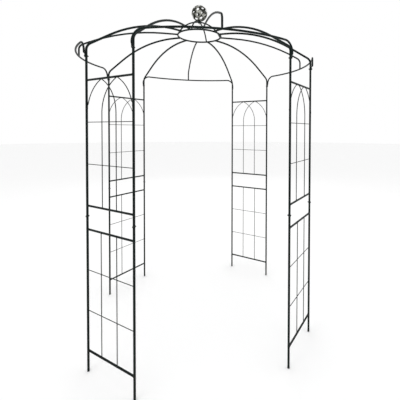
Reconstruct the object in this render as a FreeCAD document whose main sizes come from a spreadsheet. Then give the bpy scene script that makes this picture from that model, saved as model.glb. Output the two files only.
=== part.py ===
import FreeCAD, Part
import math
import os

import Sketcher

# A round garden arbour of welded and bolted steel tube: four lattice panels, each in a lower and
# an upper section, stand between four open doorways. Eight main ribs and four mid ribs carry the
# roof to a crown ring with a low dome and an openwork ball. Millimetres, +Z up. The origin is on
# the ground at the centre of the plan, and the front doorway faces -Y.

SIZES = [
    ("post_circle_radius", 980, "plan centre to every post's axis"),
    ("panel_half_angle", 13.5, "half the angle between a panel's two posts, degrees"),
    ("post_diameter", 16, "posts and main ribs, outside"),
    ("post_wall", 1.2, "posts and main ribs"),
    ("leg_length", 148, "ground to the bottom rail's axis"),
    ("lower_height", 838, "lower section, rail axis to rail axis"),
    ("section_gap", 162, "between the two sections' rails"),
    ("upper_height", 852, "upper section, rail axis to rail axis"),
    ("lower_post_length", 1050, "ground to the shoulder under the neck"),
    ("upper_post_length", 1088, "shoulder to shoulder"),
    ("neck_length", 50, "swaged end that the next tube slides over"),
    ("neck_clearance", 0.1, "radial, between a neck and the tube over it"),
    ("joint_bolt_rise", 25, "shoulder to the bolt's axis"),
    ("rail_diameter", 14, "outside"),
    ("rail_wall", 1, "rail tube"),
    ("upright_wire", 6, "diameter of the upright and arched wires"),
    ("cross_wire", 5, "diameter of the level wires"),
    ("arch_spring", 56, "upper level wire to the start of the arches"),
    ("bar_diameter", 14, "lintels and mid ribs, outside"),
    ("bar_wall", 1, "lintels and mid ribs"),
    ("lintel_height", 2268, "ground to the lintel's axis"),
    ("lintel_offset", 16, "post's axis to the lintel's axis, outward"),
    ("lintel_corner", 75, "bend from the lintel to its tail"),
    ("tab_thickness", 3, "flattened end of the lintel"),
    ("tab_width", 18, "flattened end of the lintel"),
    ("tab_rise", 14, "bolt's axis to the top of the flat part"),
    ("knee_height", 2237, "where a main rib's slope meets its tail"),
    ("knee_radius", 60, "bend at the knee"),
    ("shoulder_radius", 560, "plan radius where the slope meets the level end"),
    ("rib_curve", 1041, "bend at the rib's shoulder"),
    ("mid_knee_height", 2356, "where a mid rib's slope meets its upright"),
    ("mid_knee_radius", 50, "bend at the mid rib's knee"),
    ("mid_shoulder_radius", 640, "plan radius of the mid rib's shoulder"),
    ("mid_rib_curve", 1500, "bend at the mid rib's shoulder"),
    ("ring_radius", 192, "crown ring, to the rod's axis"),
    ("ring_rod", 14, "crown ring's rod diameter"),
    ("ring_height", 2512, "ground to the ring's axis"),
    ("rib_end_gap", 1, "ring's rod to the end of each rib"),
    ("spigot_length", 32, "ring's axis to the end of the spigot inside a rib"),
    ("spigot_clearance", 0.3, "radial, between a spigot and its rib"),
    ("crown_leg", 12, "crown dome's rod diameter"),
    ("crown_angle", 62, "azimuth of the crown's first arch, degrees"),
    ("crown_crossing", 60, "from the crown's first arch back to its second, degrees"),
    ("apex_height", 2636, "ground to the axis of the dome's top"),
    ("boss_diameter", 24, "boss at the dome's top"),
    ("boss_height", 18, "boss at the dome's top"),
    ("boss_top", 2644, "ground to the boss's top face"),
    ("ball_diameter", 142, "openwork ball"),
    ("ball_wall", 1.5, "openwork ball"),
    ("ball_hole", 30, "diameter of each opening in the ball"),
    ("stud_diameter", 8, "stud that holds the ball"),
    ("stud_length", 52, "stud that holds the ball"),
    ("stud_nut_width", 13, "across the flats"),
    ("stud_nut_height", 6.5, "nuts on the stud"),
    ("bolt_diameter", 6, "joint bolts"),
    ("bolt_head", 12, "head diameter"),
    ("bolt_head_height", 4, "head height"),
    ("nut_width", 10, "across the flats"),
    ("nut_height", 5, "joint nuts"),
    ("bolt_tail", 2, "bolt's end beyond its nut"),
    ("hole_clearance", 0.2, "radial, around every bolt and stud"),
    ("thread_gap", 0.05, "radial, between a bolt or stud and its nut"),
    ("ball_nut_gap", 0.5, "ball's inner pole to the flat face of the nut on it"),
    ("seat_gap", 0.1, "between a round tube and a flat face bolted against it"),
]

PANELS = [
    # name, azimuth of the panel's middle, doorway on its clockwise side, doorway on the other side
    ("back_right", 45, "right", "back"),
    ("back_left", 135, "back", "left"),
    ("front_left", 225, "left", "front"),
    ("front_right", 315, "front", "right"),
]
DOORWAYS = [("right", 0), ("back", 90), ("left", 180), ("front", 270)]
GRID_STEPS = 3
QUARTER_TURN = 90
HALF_TURN = 180
FIFTH_TURN = 72
UP = FreeCAD.Vector(0, 0, 1)
AXIS_X = FreeCAD.Vector(1, 0, 0)
AXIS_Y = FreeCAD.Vector(0, 1, 0)

doc = FreeCAD.newDocument("arbour")
sizes = doc.addObject("Spreadsheet::Sheet", "sizes")
for row, (alias, number, note) in enumerate(SIZES, start=1):
    sizes.set(f"A{row}", alias)
    sizes.set(f"B{row}", str(number))
    sizes.set(f"C{row}", note)
    sizes.setAlias(f"B{row}", alias)
doc.recompute()

parts = []


def size(alias):
    """The number in one of the sheet's cells."""
    return float(sizes.get(alias))


def worked(expression):
    """The number that an expression over the sheet gives."""
    return float(sizes.evalExpression(expression))


def bind(obj, **properties):
    """Bind each named property of obj to an expression over the sheet."""
    for name, expression in properties.items():
        obj.setExpression(name, expression)


def turn(axis, degrees):
    return FreeCAD.Rotation(axis, degrees)


def keep(obj, name):
    """Name obj as one of the finished pieces."""
    obj.Label = name
    parts.append(obj)
    return obj


# Sketches and bodies.

def new_body(name, placement):
    body = doc.addObject("PartDesign::Body", name)
    body.Placement = placement
    return body


def new_sketch(body, role, name):
    """An empty sketch on one of the body's own origin planes."""
    plane = next(item for item in body.Origin.OriginFeatures if item.Role == role)
    sketch = body.newObject("Sketcher::SketchObject", name)
    sketch.AttachmentSupport = (plane, [""])
    sketch.MapMode = "FlatFace"
    return sketch


def pin_point(sketch, geometry, end, across, up):
    """Hold a sketch point at two expressions, measured from the sketch's origin."""
    for kind, axis, expression in (("DistanceX", -2, across), ("DistanceY", -1, up)):
        if expression == "0":
            sketch.addConstraint(Sketcher.Constraint("PointOnObject", geometry, end, axis))
            continue
        hold = Sketcher.Constraint(kind, -1, 1, geometry, end, worked(expression))
        index = sketch.addConstraint(hold)
        sketch.setExpression(f"Constraints[{index}]", expression)


def draw_circle(sketch, radius):
    """A circle about the sketch's origin."""
    circle = Part.Circle(FreeCAD.Vector(), UP, worked(radius))
    ring = sketch.addGeometry(circle)
    sketch.addConstraint(Sketcher.Constraint("Coincident", ring, 3, -1, 1))
    index = sketch.addConstraint(Sketcher.Constraint("Radius", ring, worked(radius)))
    sketch.setExpression(f"Constraints[{index}]", radius)


def draw_outline(sketch, corners):
    """A closed outline of straight sides, each corner held at two expressions."""
    spots = [FreeCAD.Vector(worked(across), worked(up), 0) for across, up in corners]
    for index, spot in enumerate(spots):
        following = spots[(index + 1) % len(spots)]
        sketch.addGeometry(Part.LineSegment(spot, following))
    for index, (across, up) in enumerate(corners):
        before = (index - 1) % len(corners)
        sketch.addConstraint(Sketcher.Constraint("Coincident", before, 2, index, 1))
        pin_point(sketch, index, 1, across, up)


def bend_arc(corner, way_in, way_out, radius):
    """The tangent arc at a corner, and whether the path runs along it clockwise."""
    half_turn = way_in.getAngle(way_out) / 2
    centre = corner + (way_out - way_in).normalize() * (radius / math.cos(half_turn))
    reach = radius * math.tan(half_turn)
    first = corner - way_in * reach - centre
    last = corner + way_out * reach - centre
    clockwise = way_in.cross(way_out).z < 0
    low, high = (last, first) if clockwise else (first, last)
    start = math.atan2(low.y, low.x)
    end = math.atan2(high.y, high.x)
    if end < start:
        end += 2 * math.pi
    arc = Part.ArcOfCircle(Part.Circle(centre, UP, radius), start, end)
    return arc, centre + first, centre + last, clockwise


def draw_bent_path(sketch, corners, radii):
    """Straight runs through the corners, with a tangent arc of its own radius at each bend."""
    spots = [FreeCAD.Vector(worked(across), worked(up), 0) for across, up in corners]
    start = spots[0]
    runs = []
    bends = []
    for index, radius in enumerate(radii, start=1):
        way_in = (spots[index] - spots[index - 1]).normalize()
        way_out = (spots[index + 1] - spots[index]).normalize()
        arc, first, last, clockwise = bend_arc(spots[index], way_in, way_out, worked(radius))
        runs.append(sketch.addGeometry(Part.LineSegment(start, first)))
        bends.append((sketch.addGeometry(arc), clockwise, radius))
        start = last
    runs.append(sketch.addGeometry(Part.LineSegment(start, spots[-1])))
    pin_point(sketch, runs[0], 1, *corners[0])
    pin_point(sketch, runs[-1], 2, *corners[-1])
    for index, (bend, clockwise, radius) in enumerate(bends):
        near, far = (2, 1) if clockwise else (1, 2)
        sketch.addConstraint(Sketcher.Constraint("Tangent", runs[index], 2, bend, near))
        sketch.addConstraint(Sketcher.Constraint("Tangent", bend, far, runs[index + 1], 1))
        hold = sketch.addConstraint(Sketcher.Constraint("Radius", bend, worked(radius)))
        sketch.setExpression(f"Constraints[{hold}]", radius)
        corner = sketch.addGeometry(Part.Point(spots[index + 1]), True)
        pin_point(sketch, corner, 1, *corners[index + 1])
        sketch.addConstraint(Sketcher.Constraint("PointOnObject", corner, 1, runs[index]))
        sketch.addConstraint(Sketcher.Constraint("PointOnObject", corner, 1, runs[index + 1]))


def revolve(body, sketch):
    """Turn the sketch once round the body's Z axis."""
    solid = body.newObject("PartDesign::Revolution", "turned")
    solid.Profile = sketch
    solid.ReferenceAxis = (sketch, ["V_Axis"])
    solid.Angle = 360
    return solid


def sweep(body, profile, path):
    pipe = body.newObject("PartDesign::AdditivePipe", "pipe")
    pipe.Profile = profile
    pipe.Spine = (path, [""])
    return pipe


def drill(body, height, direction):
    """A bolt hole right through the body, across its axis at a height."""
    hole = body.newObject("PartDesign::SubtractiveCylinder", "bolt_hole")
    bind(hole, Radius="sizes.bolt_diameter / 2 + sizes.hole_clearance", Height="2 * sizes.post_diameter")
    start = UP * worked(height) - direction * size("post_diameter")
    hole.Placement = FreeCAD.Placement(start, FreeCAD.Rotation(UP, direction))
    return hole


# Part primitives.

def rod(name, radius, length, placement):
    cylinder = doc.addObject("Part::Cylinder", name)
    bind(cylinder, Radius=radius, Height=length)
    cylinder.Placement = placement
    return cylinder


def torus(name, radius, rod_radius, centre):
    solid = doc.addObject("Part::Torus", name)
    bind(solid, Radius1=radius, Radius2=rod_radius)
    solid.Placement = FreeCAD.Placement(centre, FreeCAD.Rotation())
    return solid


def group(name, members):
    compound = doc.addObject("Part::Compound", name)
    compound.Links = members
    return compound


def cut(name, base, tool):
    result = doc.addObject("Part::Cut", name)
    result.Base = base
    result.Tool = tool
    return result


# Posts and lattice panels. A panel's own frame has X along the panel, Y outward and Z up, with
# its origin on the ground midway between the two posts.

HALF_CHORD = "sizes.post_circle_radius * sin(sizes.panel_half_angle * 1deg)"
PANEL_DISTANCE = "sizes.post_circle_radius * cos(sizes.panel_half_angle * 1deg)"
POST_RADIUS = "sizes.post_diameter / 2"
POST_BORE = "sizes.post_diameter / 2 - sizes.post_wall"
NECK_RADIUS = "sizes.post_diameter / 2 - sizes.post_wall - sizes.neck_clearance"
NECK_BORE = "sizes.post_diameter / 2 - 2 * sizes.post_wall - sizes.neck_clearance"
LOWER_RAILS = ["sizes.leg_length", "sizes.leg_length + sizes.lower_height"]
UPPER_FOOT = "sizes.leg_length + sizes.lower_height + sizes.section_gap"
UPPER_RAILS = [UPPER_FOOT, UPPER_FOOT + " + sizes.upper_height"]


def panel_frame(azimuth):
    """Where a panel's own frame lies on the plan."""
    outward = turn(UP, azimuth).multVec(AXIS_X)
    return FreeCAD.Placement(outward * worked(PANEL_DISTANCE), turn(UP, azimuth - 90))


def post(name, length, bolt_holes, placement):
    """A tube with a swaged neck on top, drilled at each (height, direction) in bolt_holes."""
    body = new_body(name, placement)
    outline = new_sketch(body, "XZ_Plane", "half_section")
    draw_outline(outline, [
        (POST_BORE, "0"),
        (POST_RADIUS, "0"),
        (POST_RADIUS, f"{length} - sizes.post_wall"),
        (NECK_RADIUS, length),
        (NECK_RADIUS, f"{length} + sizes.neck_length"),
        (NECK_BORE, f"{length} + sizes.neck_length"),
        (NECK_BORE, f"{length} - sizes.post_wall"),
        (POST_BORE, f"{length} - 2 * sizes.post_wall"),
    ])
    revolve(body, outline)
    for height, direction in bolt_holes:
        drill(body, height, direction)
    return keep(body, name)


def panel_rods(expressions, radius, frame_names):
    """Level rods from post axis to post axis at the given heights."""
    rods = []
    for label, height in zip(frame_names, expressions):
        start = FreeCAD.Vector(-worked(HALF_CHORD), 0, worked(height))
        placement = FreeCAD.Placement(start, turn(AXIS_Y, 90))
        rods.append(rod(label, radius, f"2 * {HALF_CHORD}", placement))
    return rods


def grid_heights(rails):
    """Heights of the level wires, in equal rows between two rails."""
    low, high = rails
    steps = range(1, GRID_STEPS)
    return [f"{low} + ({high} - ({low})) * {step} / {GRID_STEPS}" for step in steps]


def layer_offset():
    """How far the upright wires' axes stand from the level wires' axes."""
    return worked("(sizes.upright_wire + sizes.cross_wire) / 2")


def arch_wire(start_height, across, half_turn, rails):
    """A wire that rises, then leans over in a quarter-like arc to a peak under the top rail."""
    spring = f"{grid_heights(rails)[-1]} + sizes.arch_spring"
    rise = f"{spring} - ({start_height})"
    top = f"{rails[1]} - ({start_height})"
    reach = f"2 * {HALF_CHORD} / {GRID_STEPS}"
    offset = FreeCAD.Vector(across, layer_offset(), worked(start_height))
    placement = FreeCAD.Placement(FreeCAD.Vector(), turn(UP, half_turn))
    placement = placement.multiply(FreeCAD.Placement(offset, FreeCAD.Rotation()))
    body = new_body("arch_wire", placement)
    section = new_sketch(body, "XY_Plane", "section")
    draw_circle(section, "sizes.upright_wire / 2")
    path = new_sketch(body, "XZ_Plane", "path")
    height = worked(top) - worked(rise)
    radius = (worked(reach) ** 2 + height ** 2) / (2 * worked(reach))
    centre = FreeCAD.Vector(radius, worked(rise), 0)
    opening = math.asin(height / radius)
    arc = Part.ArcOfCircle(Part.Circle(centre, UP, radius), math.pi - opening, math.pi)
    straight = path.addGeometry(Part.LineSegment(FreeCAD.Vector(), FreeCAD.Vector(0, worked(rise), 0)))
    curve = path.addGeometry(arc)
    path.addConstraint(Sketcher.Constraint("Tangent", straight, 2, curve, 2))
    pin_point(path, straight, 1, "0", "0")
    pin_point(path, straight, 2, "0", rise)
    pin_point(path, curve, 1, reach, top)
    sweep(body, section, path)
    return body


def upright_wires(rails):
    """Straight upright wires that stand outside the level wires and run from rail to rail."""
    low, high = rails
    third = worked(f"{HALF_CHORD} / {GRID_STEPS}")
    wires = []
    for side in (-1, 1):
        foot = FreeCAD.Vector(side * third, layer_offset(), worked(low))
        placement = FreeCAD.Placement(foot, FreeCAD.Rotation())
        wires.append(rod("upright", "sizes.upright_wire / 2", f"{high} - ({low})", placement))
    return wires


def arched_wires(rails):
    """The interlaced arches: two uprights that cross over each other and two side wires."""
    half_chord = worked(HALF_CHORD)
    wires = []
    for half_turn in (0, HALF_TURN):
        wires.append(arch_wire(rails[0], -half_chord / GRID_STEPS, half_turn, rails))
        wires.append(arch_wire(grid_heights(rails)[-1], -half_chord, half_turn, rails))
    return wires


def lattice(name, frame, rails, uprights):
    """One welded panel section: two rails between the posts, and the wires between them."""
    ends = []
    for side in (-1, 1):
        foot = FreeCAD.Vector(side * worked(HALF_CHORD), 0, worked(rails[0]) - size("rail_diameter"))
        height = f"{rails[1]} - ({rails[0]}) + 2 * sizes.rail_diameter"
        ends.append(rod("post_line", POST_RADIUS, height, FreeCAD.Placement(foot, FreeCAD.Rotation())))
    labels = ["bottom_rail", "top_rail"]
    bars = panel_rods(rails, "sizes.rail_diameter / 2", labels)
    bores = panel_rods(rails, "sizes.rail_diameter / 2 - sizes.rail_wall", labels)
    cross = panel_rods(grid_heights(rails), "sizes.cross_wire / 2", ["cross_wire"] * len(rails))
    coped = cut("rails", group("bars", bars), group("bores", bores + ends))
    wires = cut("wires", group("rods", uprights + cross), group("stops", bars + ends))
    whole = group(name, [coped, wires])
    whole.Placement = frame
    return keep(whole, name)


for panel, azimuth, clockwise_door, other_door in PANELS:
    frame = panel_frame(azimuth)
    for side, door in ((1, clockwise_door), (-1, other_door)):
        foot = FreeCAD.Placement(FreeCAD.Vector(side * worked(HALF_CHORD), 0, 0), FreeCAD.Rotation())
        radial = turn(UP, -side * size("panel_half_angle")).multVec(AXIS_Y)
        rise = "sizes.joint_bolt_rise"
        lower_holes = [(f"sizes.lower_post_length + {rise}", AXIS_Y)]
        post(f"lower_post_{panel}_{door}", "sizes.lower_post_length", lower_holes, frame.multiply(foot))
        joint = FreeCAD.Placement(UP * size("lower_post_length"), FreeCAD.Rotation())
        upper_holes = [(rise, AXIS_Y), (f"sizes.upper_post_length + {rise}", radial)]
        post(f"upper_post_{panel}_{door}", "sizes.upper_post_length", upper_holes,
             frame.multiply(foot).multiply(joint))
    lattice(f"lower_lattice_{panel}", frame, LOWER_RAILS, upright_wires(LOWER_RAILS))
    lattice(f"upper_lattice_{panel}", frame, UPPER_RAILS, arched_wires(UPPER_RAILS))


# The roof. A rib's own frame starts at its foot, with X toward the centre of the plan.

LINTEL_REACH = "(sizes.post_circle_radius + sizes.lintel_offset)"
LINTEL_RADIUS = f"sqrt({LINTEL_REACH}^2 - sizes.lintel_corner^2)"
BAR_RADIUS = "sizes.bar_diameter / 2"
BAR_BORE = "sizes.bar_diameter / 2 - sizes.bar_wall"
RIB_FOOT = "(sizes.lower_post_length + sizes.upper_post_length)"
RIB_END = "(sizes.ring_radius + sizes.ring_rod / 2 + sizes.rib_end_gap)"
TOP_BOLT = f"({RIB_FOOT} + sizes.joint_bolt_rise)"


def outward_frame(azimuth, radius, height):
    """A frame on the plan with X pointing out from the centre."""
    outward = turn(UP, azimuth).multVec(AXIS_X)
    return FreeCAD.Placement(outward * radius + UP * height, turn(UP, azimuth))


def bent_tube(name, radius, bore, corners, radii, placement):
    """A tube swept along straight runs and tangent bends in its own XZ plane."""
    body = new_body(name, placement)
    section = new_sketch(body, "XY_Plane", "section")
    draw_circle(section, radius)
    draw_circle(section, bore)
    path = new_sketch(body, "XZ_Plane", "path")
    draw_bent_path(path, corners, radii)
    sweep(body, section, path)
    return body


def main_rib(name, azimuth):
    foot = outward_frame(azimuth, size("post_circle_radius"), worked(RIB_FOOT))
    placement = foot.multiply(FreeCAD.Placement(FreeCAD.Vector(), turn(UP, HALF_TURN)))
    corners = [
        ("0", "0"),
        ("0", f"sizes.knee_height - {RIB_FOOT}"),
        ("sizes.post_circle_radius - sizes.shoulder_radius", f"sizes.ring_height - {RIB_FOOT}"),
        (f"sizes.post_circle_radius - {RIB_END}", f"sizes.ring_height - {RIB_FOOT}"),
    ]
    radii = ["sizes.knee_radius", "sizes.rib_curve"]
    body = bent_tube(name, POST_RADIUS, POST_BORE, corners, radii, placement)
    drill(body, "sizes.joint_bolt_rise", AXIS_X)
    return keep(body, name)


def mid_rib(name, azimuth):
    """A rib that stands on the lintel's middle, its foot shaped to the round bar."""
    foot = outward_frame(azimuth, worked(LINTEL_RADIUS), size("lintel_height"))
    placement = foot.multiply(FreeCAD.Placement(FreeCAD.Vector(), turn(UP, HALF_TURN)))
    corners = [
        ("0", "0"),
        ("0", "sizes.mid_knee_height - sizes.lintel_height"),
        (f"{LINTEL_RADIUS} - sizes.mid_shoulder_radius", "sizes.ring_height - sizes.lintel_height"),
        (f"{LINTEL_RADIUS} - {RIB_END}", "sizes.ring_height - sizes.lintel_height"),
    ]
    radii = ["sizes.mid_knee_radius", "sizes.mid_rib_curve"]
    body = bent_tube("mid_rib_tube", BAR_RADIUS, BAR_BORE, corners, radii, placement)
    bar_line = torus("lintel_line", LINTEL_RADIUS, BAR_RADIUS, UP * size("lintel_height"))
    return keep(cut(name, body, bar_line), name)


def lintel_path():
    """The bar's line: a level arc, and at each end a bend down into a short tail."""
    radius = worked(LINTEL_RADIUS)
    bend = size("lintel_corner")
    half_door = QUARTER_TURN / 2 - size("panel_half_angle")
    end_angle = math.radians(half_door) - math.atan(bend / radius)
    tail_foot = worked(f"{TOP_BOLT} + sizes.tab_rise + sizes.bar_diameter - sizes.lintel_height")
    halves = []
    for side in (-1, 1):
        end = FreeCAD.Vector(math.cos(end_angle), side * math.sin(end_angle), 0) * radius
        along = FreeCAD.Vector(-math.sin(end_angle), side * math.cos(end_angle), 0)
        on_bend = end + along * bend * math.sqrt(0.5) - UP * bend * (1 - math.sqrt(0.5))
        tail_top = end + along * bend - UP * bend
        halves.append((end, on_bend, tail_top, FreeCAD.Vector(tail_top.x, tail_top.y, tail_foot)))
    (end, on_bend, tail_top, foot), (far_end, far_bend, far_top, far_foot) = halves
    return Part.Wire([
        Part.LineSegment(foot, tail_top).toShape(),
        Part.Arc(tail_top, on_bend, end).toShape(),
        Part.Arc(end, AXIS_X * radius, far_end).toShape(),
        Part.Arc(far_end, far_bend, far_top).toShape(),
        Part.LineSegment(far_top, far_foot).toShape(),
    ])


def pipe_along(path, radius):
    """A round solid along a path that starts straight up."""
    circle = Part.Wire(Part.Circle(path.Vertexes[0].Point, UP, radius).toShape())
    return path.makePipeShell([circle], True, False)


def lintel_tab(foot, outward):
    """The flattened end of the bar: a smooth change of section, then a drilled flat tab."""
    width = size("tab_width")
    thickness = size("tab_thickness")
    inner_face = size("post_diameter") / 2 + size("seat_gap") - size("lintel_offset")
    middle = foot + outward * (inner_face + thickness / 2)
    tab_top = FreeCAD.Vector(middle.x, middle.y, foot.z - size("bar_diameter"))
    across = UP.cross(outward)
    ellipse = Part.Ellipse(tab_top + across * width / 2, tab_top + outward * thickness / 2, tab_top)
    circle = Part.Circle(foot, UP, size("bar_diameter") / 2)
    neck = Part.makeLoft([Part.Wire(circle.toShape()), Part.Wire(ellipse.toShape())], True)
    bolt = tab_top - UP * size("tab_rise")
    inside = bolt - outward * thickness / 2
    disc = Part.makeCylinder(width / 2, thickness, inside, outward)
    corner = inside - across * width / 2
    plate = Part.makePolygon([
        corner,
        corner + across * width,
        corner + across * width + UP * size("tab_rise"),
        corner + UP * size("tab_rise"),
        corner,
    ])
    flat = Part.Face(plate).extrude(outward * thickness)
    hole = size("bolt_diameter") / 2 + size("hole_clearance")
    drilled = Part.makeCylinder(hole, 3 * thickness, inside - outward * thickness, outward)
    return neck.fuse([flat, disc]).cut(drilled)


def lintel(name, azimuth):
    """The bowed bar over a doorway. Its line leaves one plane, so the shape is scripted."""
    path = lintel_path()
    outer = pipe_along(path, worked(BAR_RADIUS))
    bore = pipe_along(path, worked(BAR_BORE))
    tube = outer.cut(bore)
    tabs = []
    for vertex in (path.Vertexes[0], path.Vertexes[-1]):
        foot = vertex.Point
        outward = FreeCAD.Vector(foot.x, foot.y, 0).normalize()
        tabs.append(lintel_tab(foot, outward))
    bar = doc.addObject("Part::Feature", name)
    bar.Shape = tube.fuse(tabs)
    bar.Placement = FreeCAD.Placement(UP * size("lintel_height"), turn(UP, azimuth))
    return keep(bar, name)


for panel, azimuth, clockwise_door, other_door in PANELS:
    for side, door in ((-1, clockwise_door), (1, other_door)):
        main_rib(f"rib_{panel}_{door}", azimuth + side * size("panel_half_angle"))
for door, azimuth in DOORWAYS:
    lintel(f"lintel_{door}", azimuth)
    mid_rib(f"mid_rib_{door}", azimuth)


# Crown ring with a spigot inside each rib, dome, ball and its fixings.

def spigot(azimuth, rib_bore):
    centre = UP * size("ring_height") + turn(UP, azimuth).multVec(AXIS_X) * size("ring_radius")
    placement = FreeCAD.Placement(centre, turn(UP, azimuth).multiply(turn(AXIS_Y, 90)))
    return rod("spigot", f"{rib_bore} - sizes.spigot_clearance", "sizes.spigot_length", placement)


def crown_ring():
    members = [torus("ring_rod", "sizes.ring_radius", "sizes.ring_rod / 2", UP * size("ring_height"))]
    for _, azimuth, _, _ in PANELS:
        for side in (-1, 1):
            members.append(spigot(azimuth + side * size("panel_half_angle"), POST_BORE))
    for _, azimuth in DOORWAYS:
        members.append(spigot(azimuth, BAR_BORE))
    ring = doc.addObject("Part::MultiFuse", "crown_ring")
    ring.Shapes = members
    return keep(ring, "crown_ring")


def crown_legs(ring, boss_line):
    """Four rods that make two crossed arches, each rod from the ring up to the boss."""
    rise = "(sizes.apex_height - sizes.ring_height)"
    curve = f"(sizes.ring_radius^2 + {rise}^2) / (2 * {rise})"
    start = math.degrees(math.acos(size("ring_radius") / worked(curve)))
    centre = UP * (size("apex_height") - worked(curve))
    legs = []
    first_arch = size("crown_angle")
    second_arch = first_arch - size("crown_crossing")
    for azimuth in (first_arch, first_arch + HALF_TURN, second_arch, second_arch + HALF_TURN):
        leg = torus("leg", curve, "sizes.crown_leg / 2", centre)
        leg.Angle3 = QUARTER_TURN - start
        upright = turn(UP, azimuth).multiply(turn(AXIS_X, 90)).multiply(turn(UP, start))
        leg.Placement = FreeCAD.Placement(centre, upright)
        legs.append(leg)
    stops = group("leg_stops", [ring, boss_line])
    return keep(cut("crown_legs", group("legs", legs), stops), "crown_legs")


def upright_rod(name, radius, length, foot_height):
    return rod(name, radius, length, FreeCAD.Placement(UP * worked(foot_height), FreeCAD.Rotation()))


def hex_nut(width, height, placement):
    prism = doc.addObject("Part::Prism", "hexagon")
    prism.Polygon = 6
    bind(prism, Circumradius=f"{width} / 2 / cos(30deg)", Height=height)
    prism.Placement = placement
    return prism


BALL_CENTRE = "(sizes.boss_top + sizes.ball_diameter / 2)"
# Rings of five openings, as (angle from the top, first azimuth): the corners and face middles
# of an icosahedron that stands on a corner.
BALL_OPENINGS = [(37.4, 36), (63.4, 0), (79.2, 36), (100.8, 0), (116.6, 36), (142.6, 0)]


def opening_tool(polar, azimuth):
    """A short cylinder through the ball's wall."""
    direction = turn(UP, azimuth).multiply(turn(AXIS_Y, polar))
    inner = size("ball_diameter") / 2 - 4 * size("ball_wall")
    start = UP * worked(BALL_CENTRE) + direction.multVec(UP) * inner
    placement = FreeCAD.Placement(start, direction)
    return rod("opening", "sizes.ball_hole / 2", "6 * sizes.ball_wall", placement)


def finial_ball():
    spheres = []
    for radius in ("sizes.ball_diameter / 2", "sizes.ball_diameter / 2 - sizes.ball_wall"):
        sphere = doc.addObject("Part::Sphere", "sphere")
        bind(sphere, Radius=radius)
        sphere.Placement.Base = UP * worked(BALL_CENTRE)
        spheres.append(sphere)
    tools = [opening_tool(0, 0)]
    for polar, first in BALL_OPENINGS:
        tools += [opening_tool(polar, first + FIFTH_TURN * step) for step in range(5)]
    clear = "sizes.stud_diameter / 2 + sizes.hole_clearance"
    hole_foot = "sizes.boss_top - 4 * sizes.ball_wall"
    tools.append(upright_rod("stud_hole", clear, "8 * sizes.ball_wall", hole_foot))
    shell = cut("ball_shell", *spheres)
    return keep(cut("finial_ball", shell, group("openings", tools)), "finial_ball")


def finial_fixings():
    """The boss, the stud through it and the ball's foot, and a nut at each end."""
    boss_foot = "sizes.boss_top - sizes.boss_height"
    clear = "sizes.stud_diameter / 2 + sizes.hole_clearance"
    boss = upright_rod("boss", "sizes.boss_diameter / 2", "sizes.boss_height", boss_foot)
    bore = upright_rod("boss_bore", clear, "sizes.boss_height", boss_foot)
    keep(cut("crown_boss", boss, bore), "crown_boss")
    stud_foot = f"{boss_foot} - sizes.stud_nut_height - sizes.bolt_tail"
    radius = "sizes.stud_diameter / 2"
    keep(upright_rod("finial_stud", radius, "sizes.stud_length", stud_foot), "finial_stud")
    under_boss = f"{boss_foot} - sizes.stud_nut_height"
    inside_ball = "sizes.boss_top + sizes.ball_wall + sizes.ball_nut_gap"
    hexagons = []
    for height in (under_boss, inside_ball):
        placement = FreeCAD.Placement(UP * worked(height), FreeCAD.Rotation())
        hexagons.append(hex_nut("sizes.stud_nut_width", "sizes.stud_nut_height", placement))
    thread = upright_rod("nut_thread", f"{radius} + sizes.thread_gap", "sizes.stud_length", stud_foot)
    keep(cut("finial_nuts", group("hexagons", hexagons), thread), "finial_nuts")


ring = crown_ring()
boss_line = upright_rod("boss_line", "sizes.boss_diameter / 2", "sizes.boss_height",
                        "sizes.boss_top - sizes.boss_height")
crown_legs(ring, boss_line)
finial_fixings()
finial_ball()


# Joint bolts and nuts. A bolt's own frame has its head's underside at the origin and Z outward.

def bolt(placement, grip):
    length = f"{grip} + sizes.nut_height + sizes.bolt_tail"
    down = FreeCAD.Placement(FreeCAD.Vector(0, 0, -worked(length)), FreeCAD.Rotation())
    shank = rod("shank", "sizes.bolt_diameter / 2", length, placement.multiply(down))
    head = doc.addObject("Part::Cone", "head")
    bind(head, Radius1="sizes.bolt_head / 2", Radius2="sizes.bolt_head / 3")
    bind(head, Height="sizes.bolt_head_height")
    head.Placement = placement
    fastener = doc.addObject("Part::Fuse", "bolt")
    fastener.Base = shank
    fastener.Tool = head
    return fastener


def nut(placement, grip):
    down = FreeCAD.Vector(0, 0, -worked(f"{grip} + sizes.nut_height"))
    seat = placement.multiply(FreeCAD.Placement(down, FreeCAD.Rotation()))
    prism = hex_nut("sizes.nut_width", "sizes.nut_height", seat)
    thread = rod("nut_thread", "sizes.bolt_diameter / 2 + sizes.thread_gap", "sizes.nut_height", seat)
    return cut("nut", prism, thread)


def fasten(name, placements, grip):
    """One node of bolts and one of nuts, a pair at each placement."""
    keep(group(f"{name}_bolts", [bolt(place, grip) for place in placements]), f"{name}_bolts")
    keep(group(f"{name}_nuts", [nut(place, grip) for place in placements]), f"{name}_nuts")


def bolt_frame(position, direction):
    """A bolt's frame at a position, with Z along an outward level direction."""
    return FreeCAD.Placement(position, FreeCAD.Rotation(UP, direction))


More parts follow.
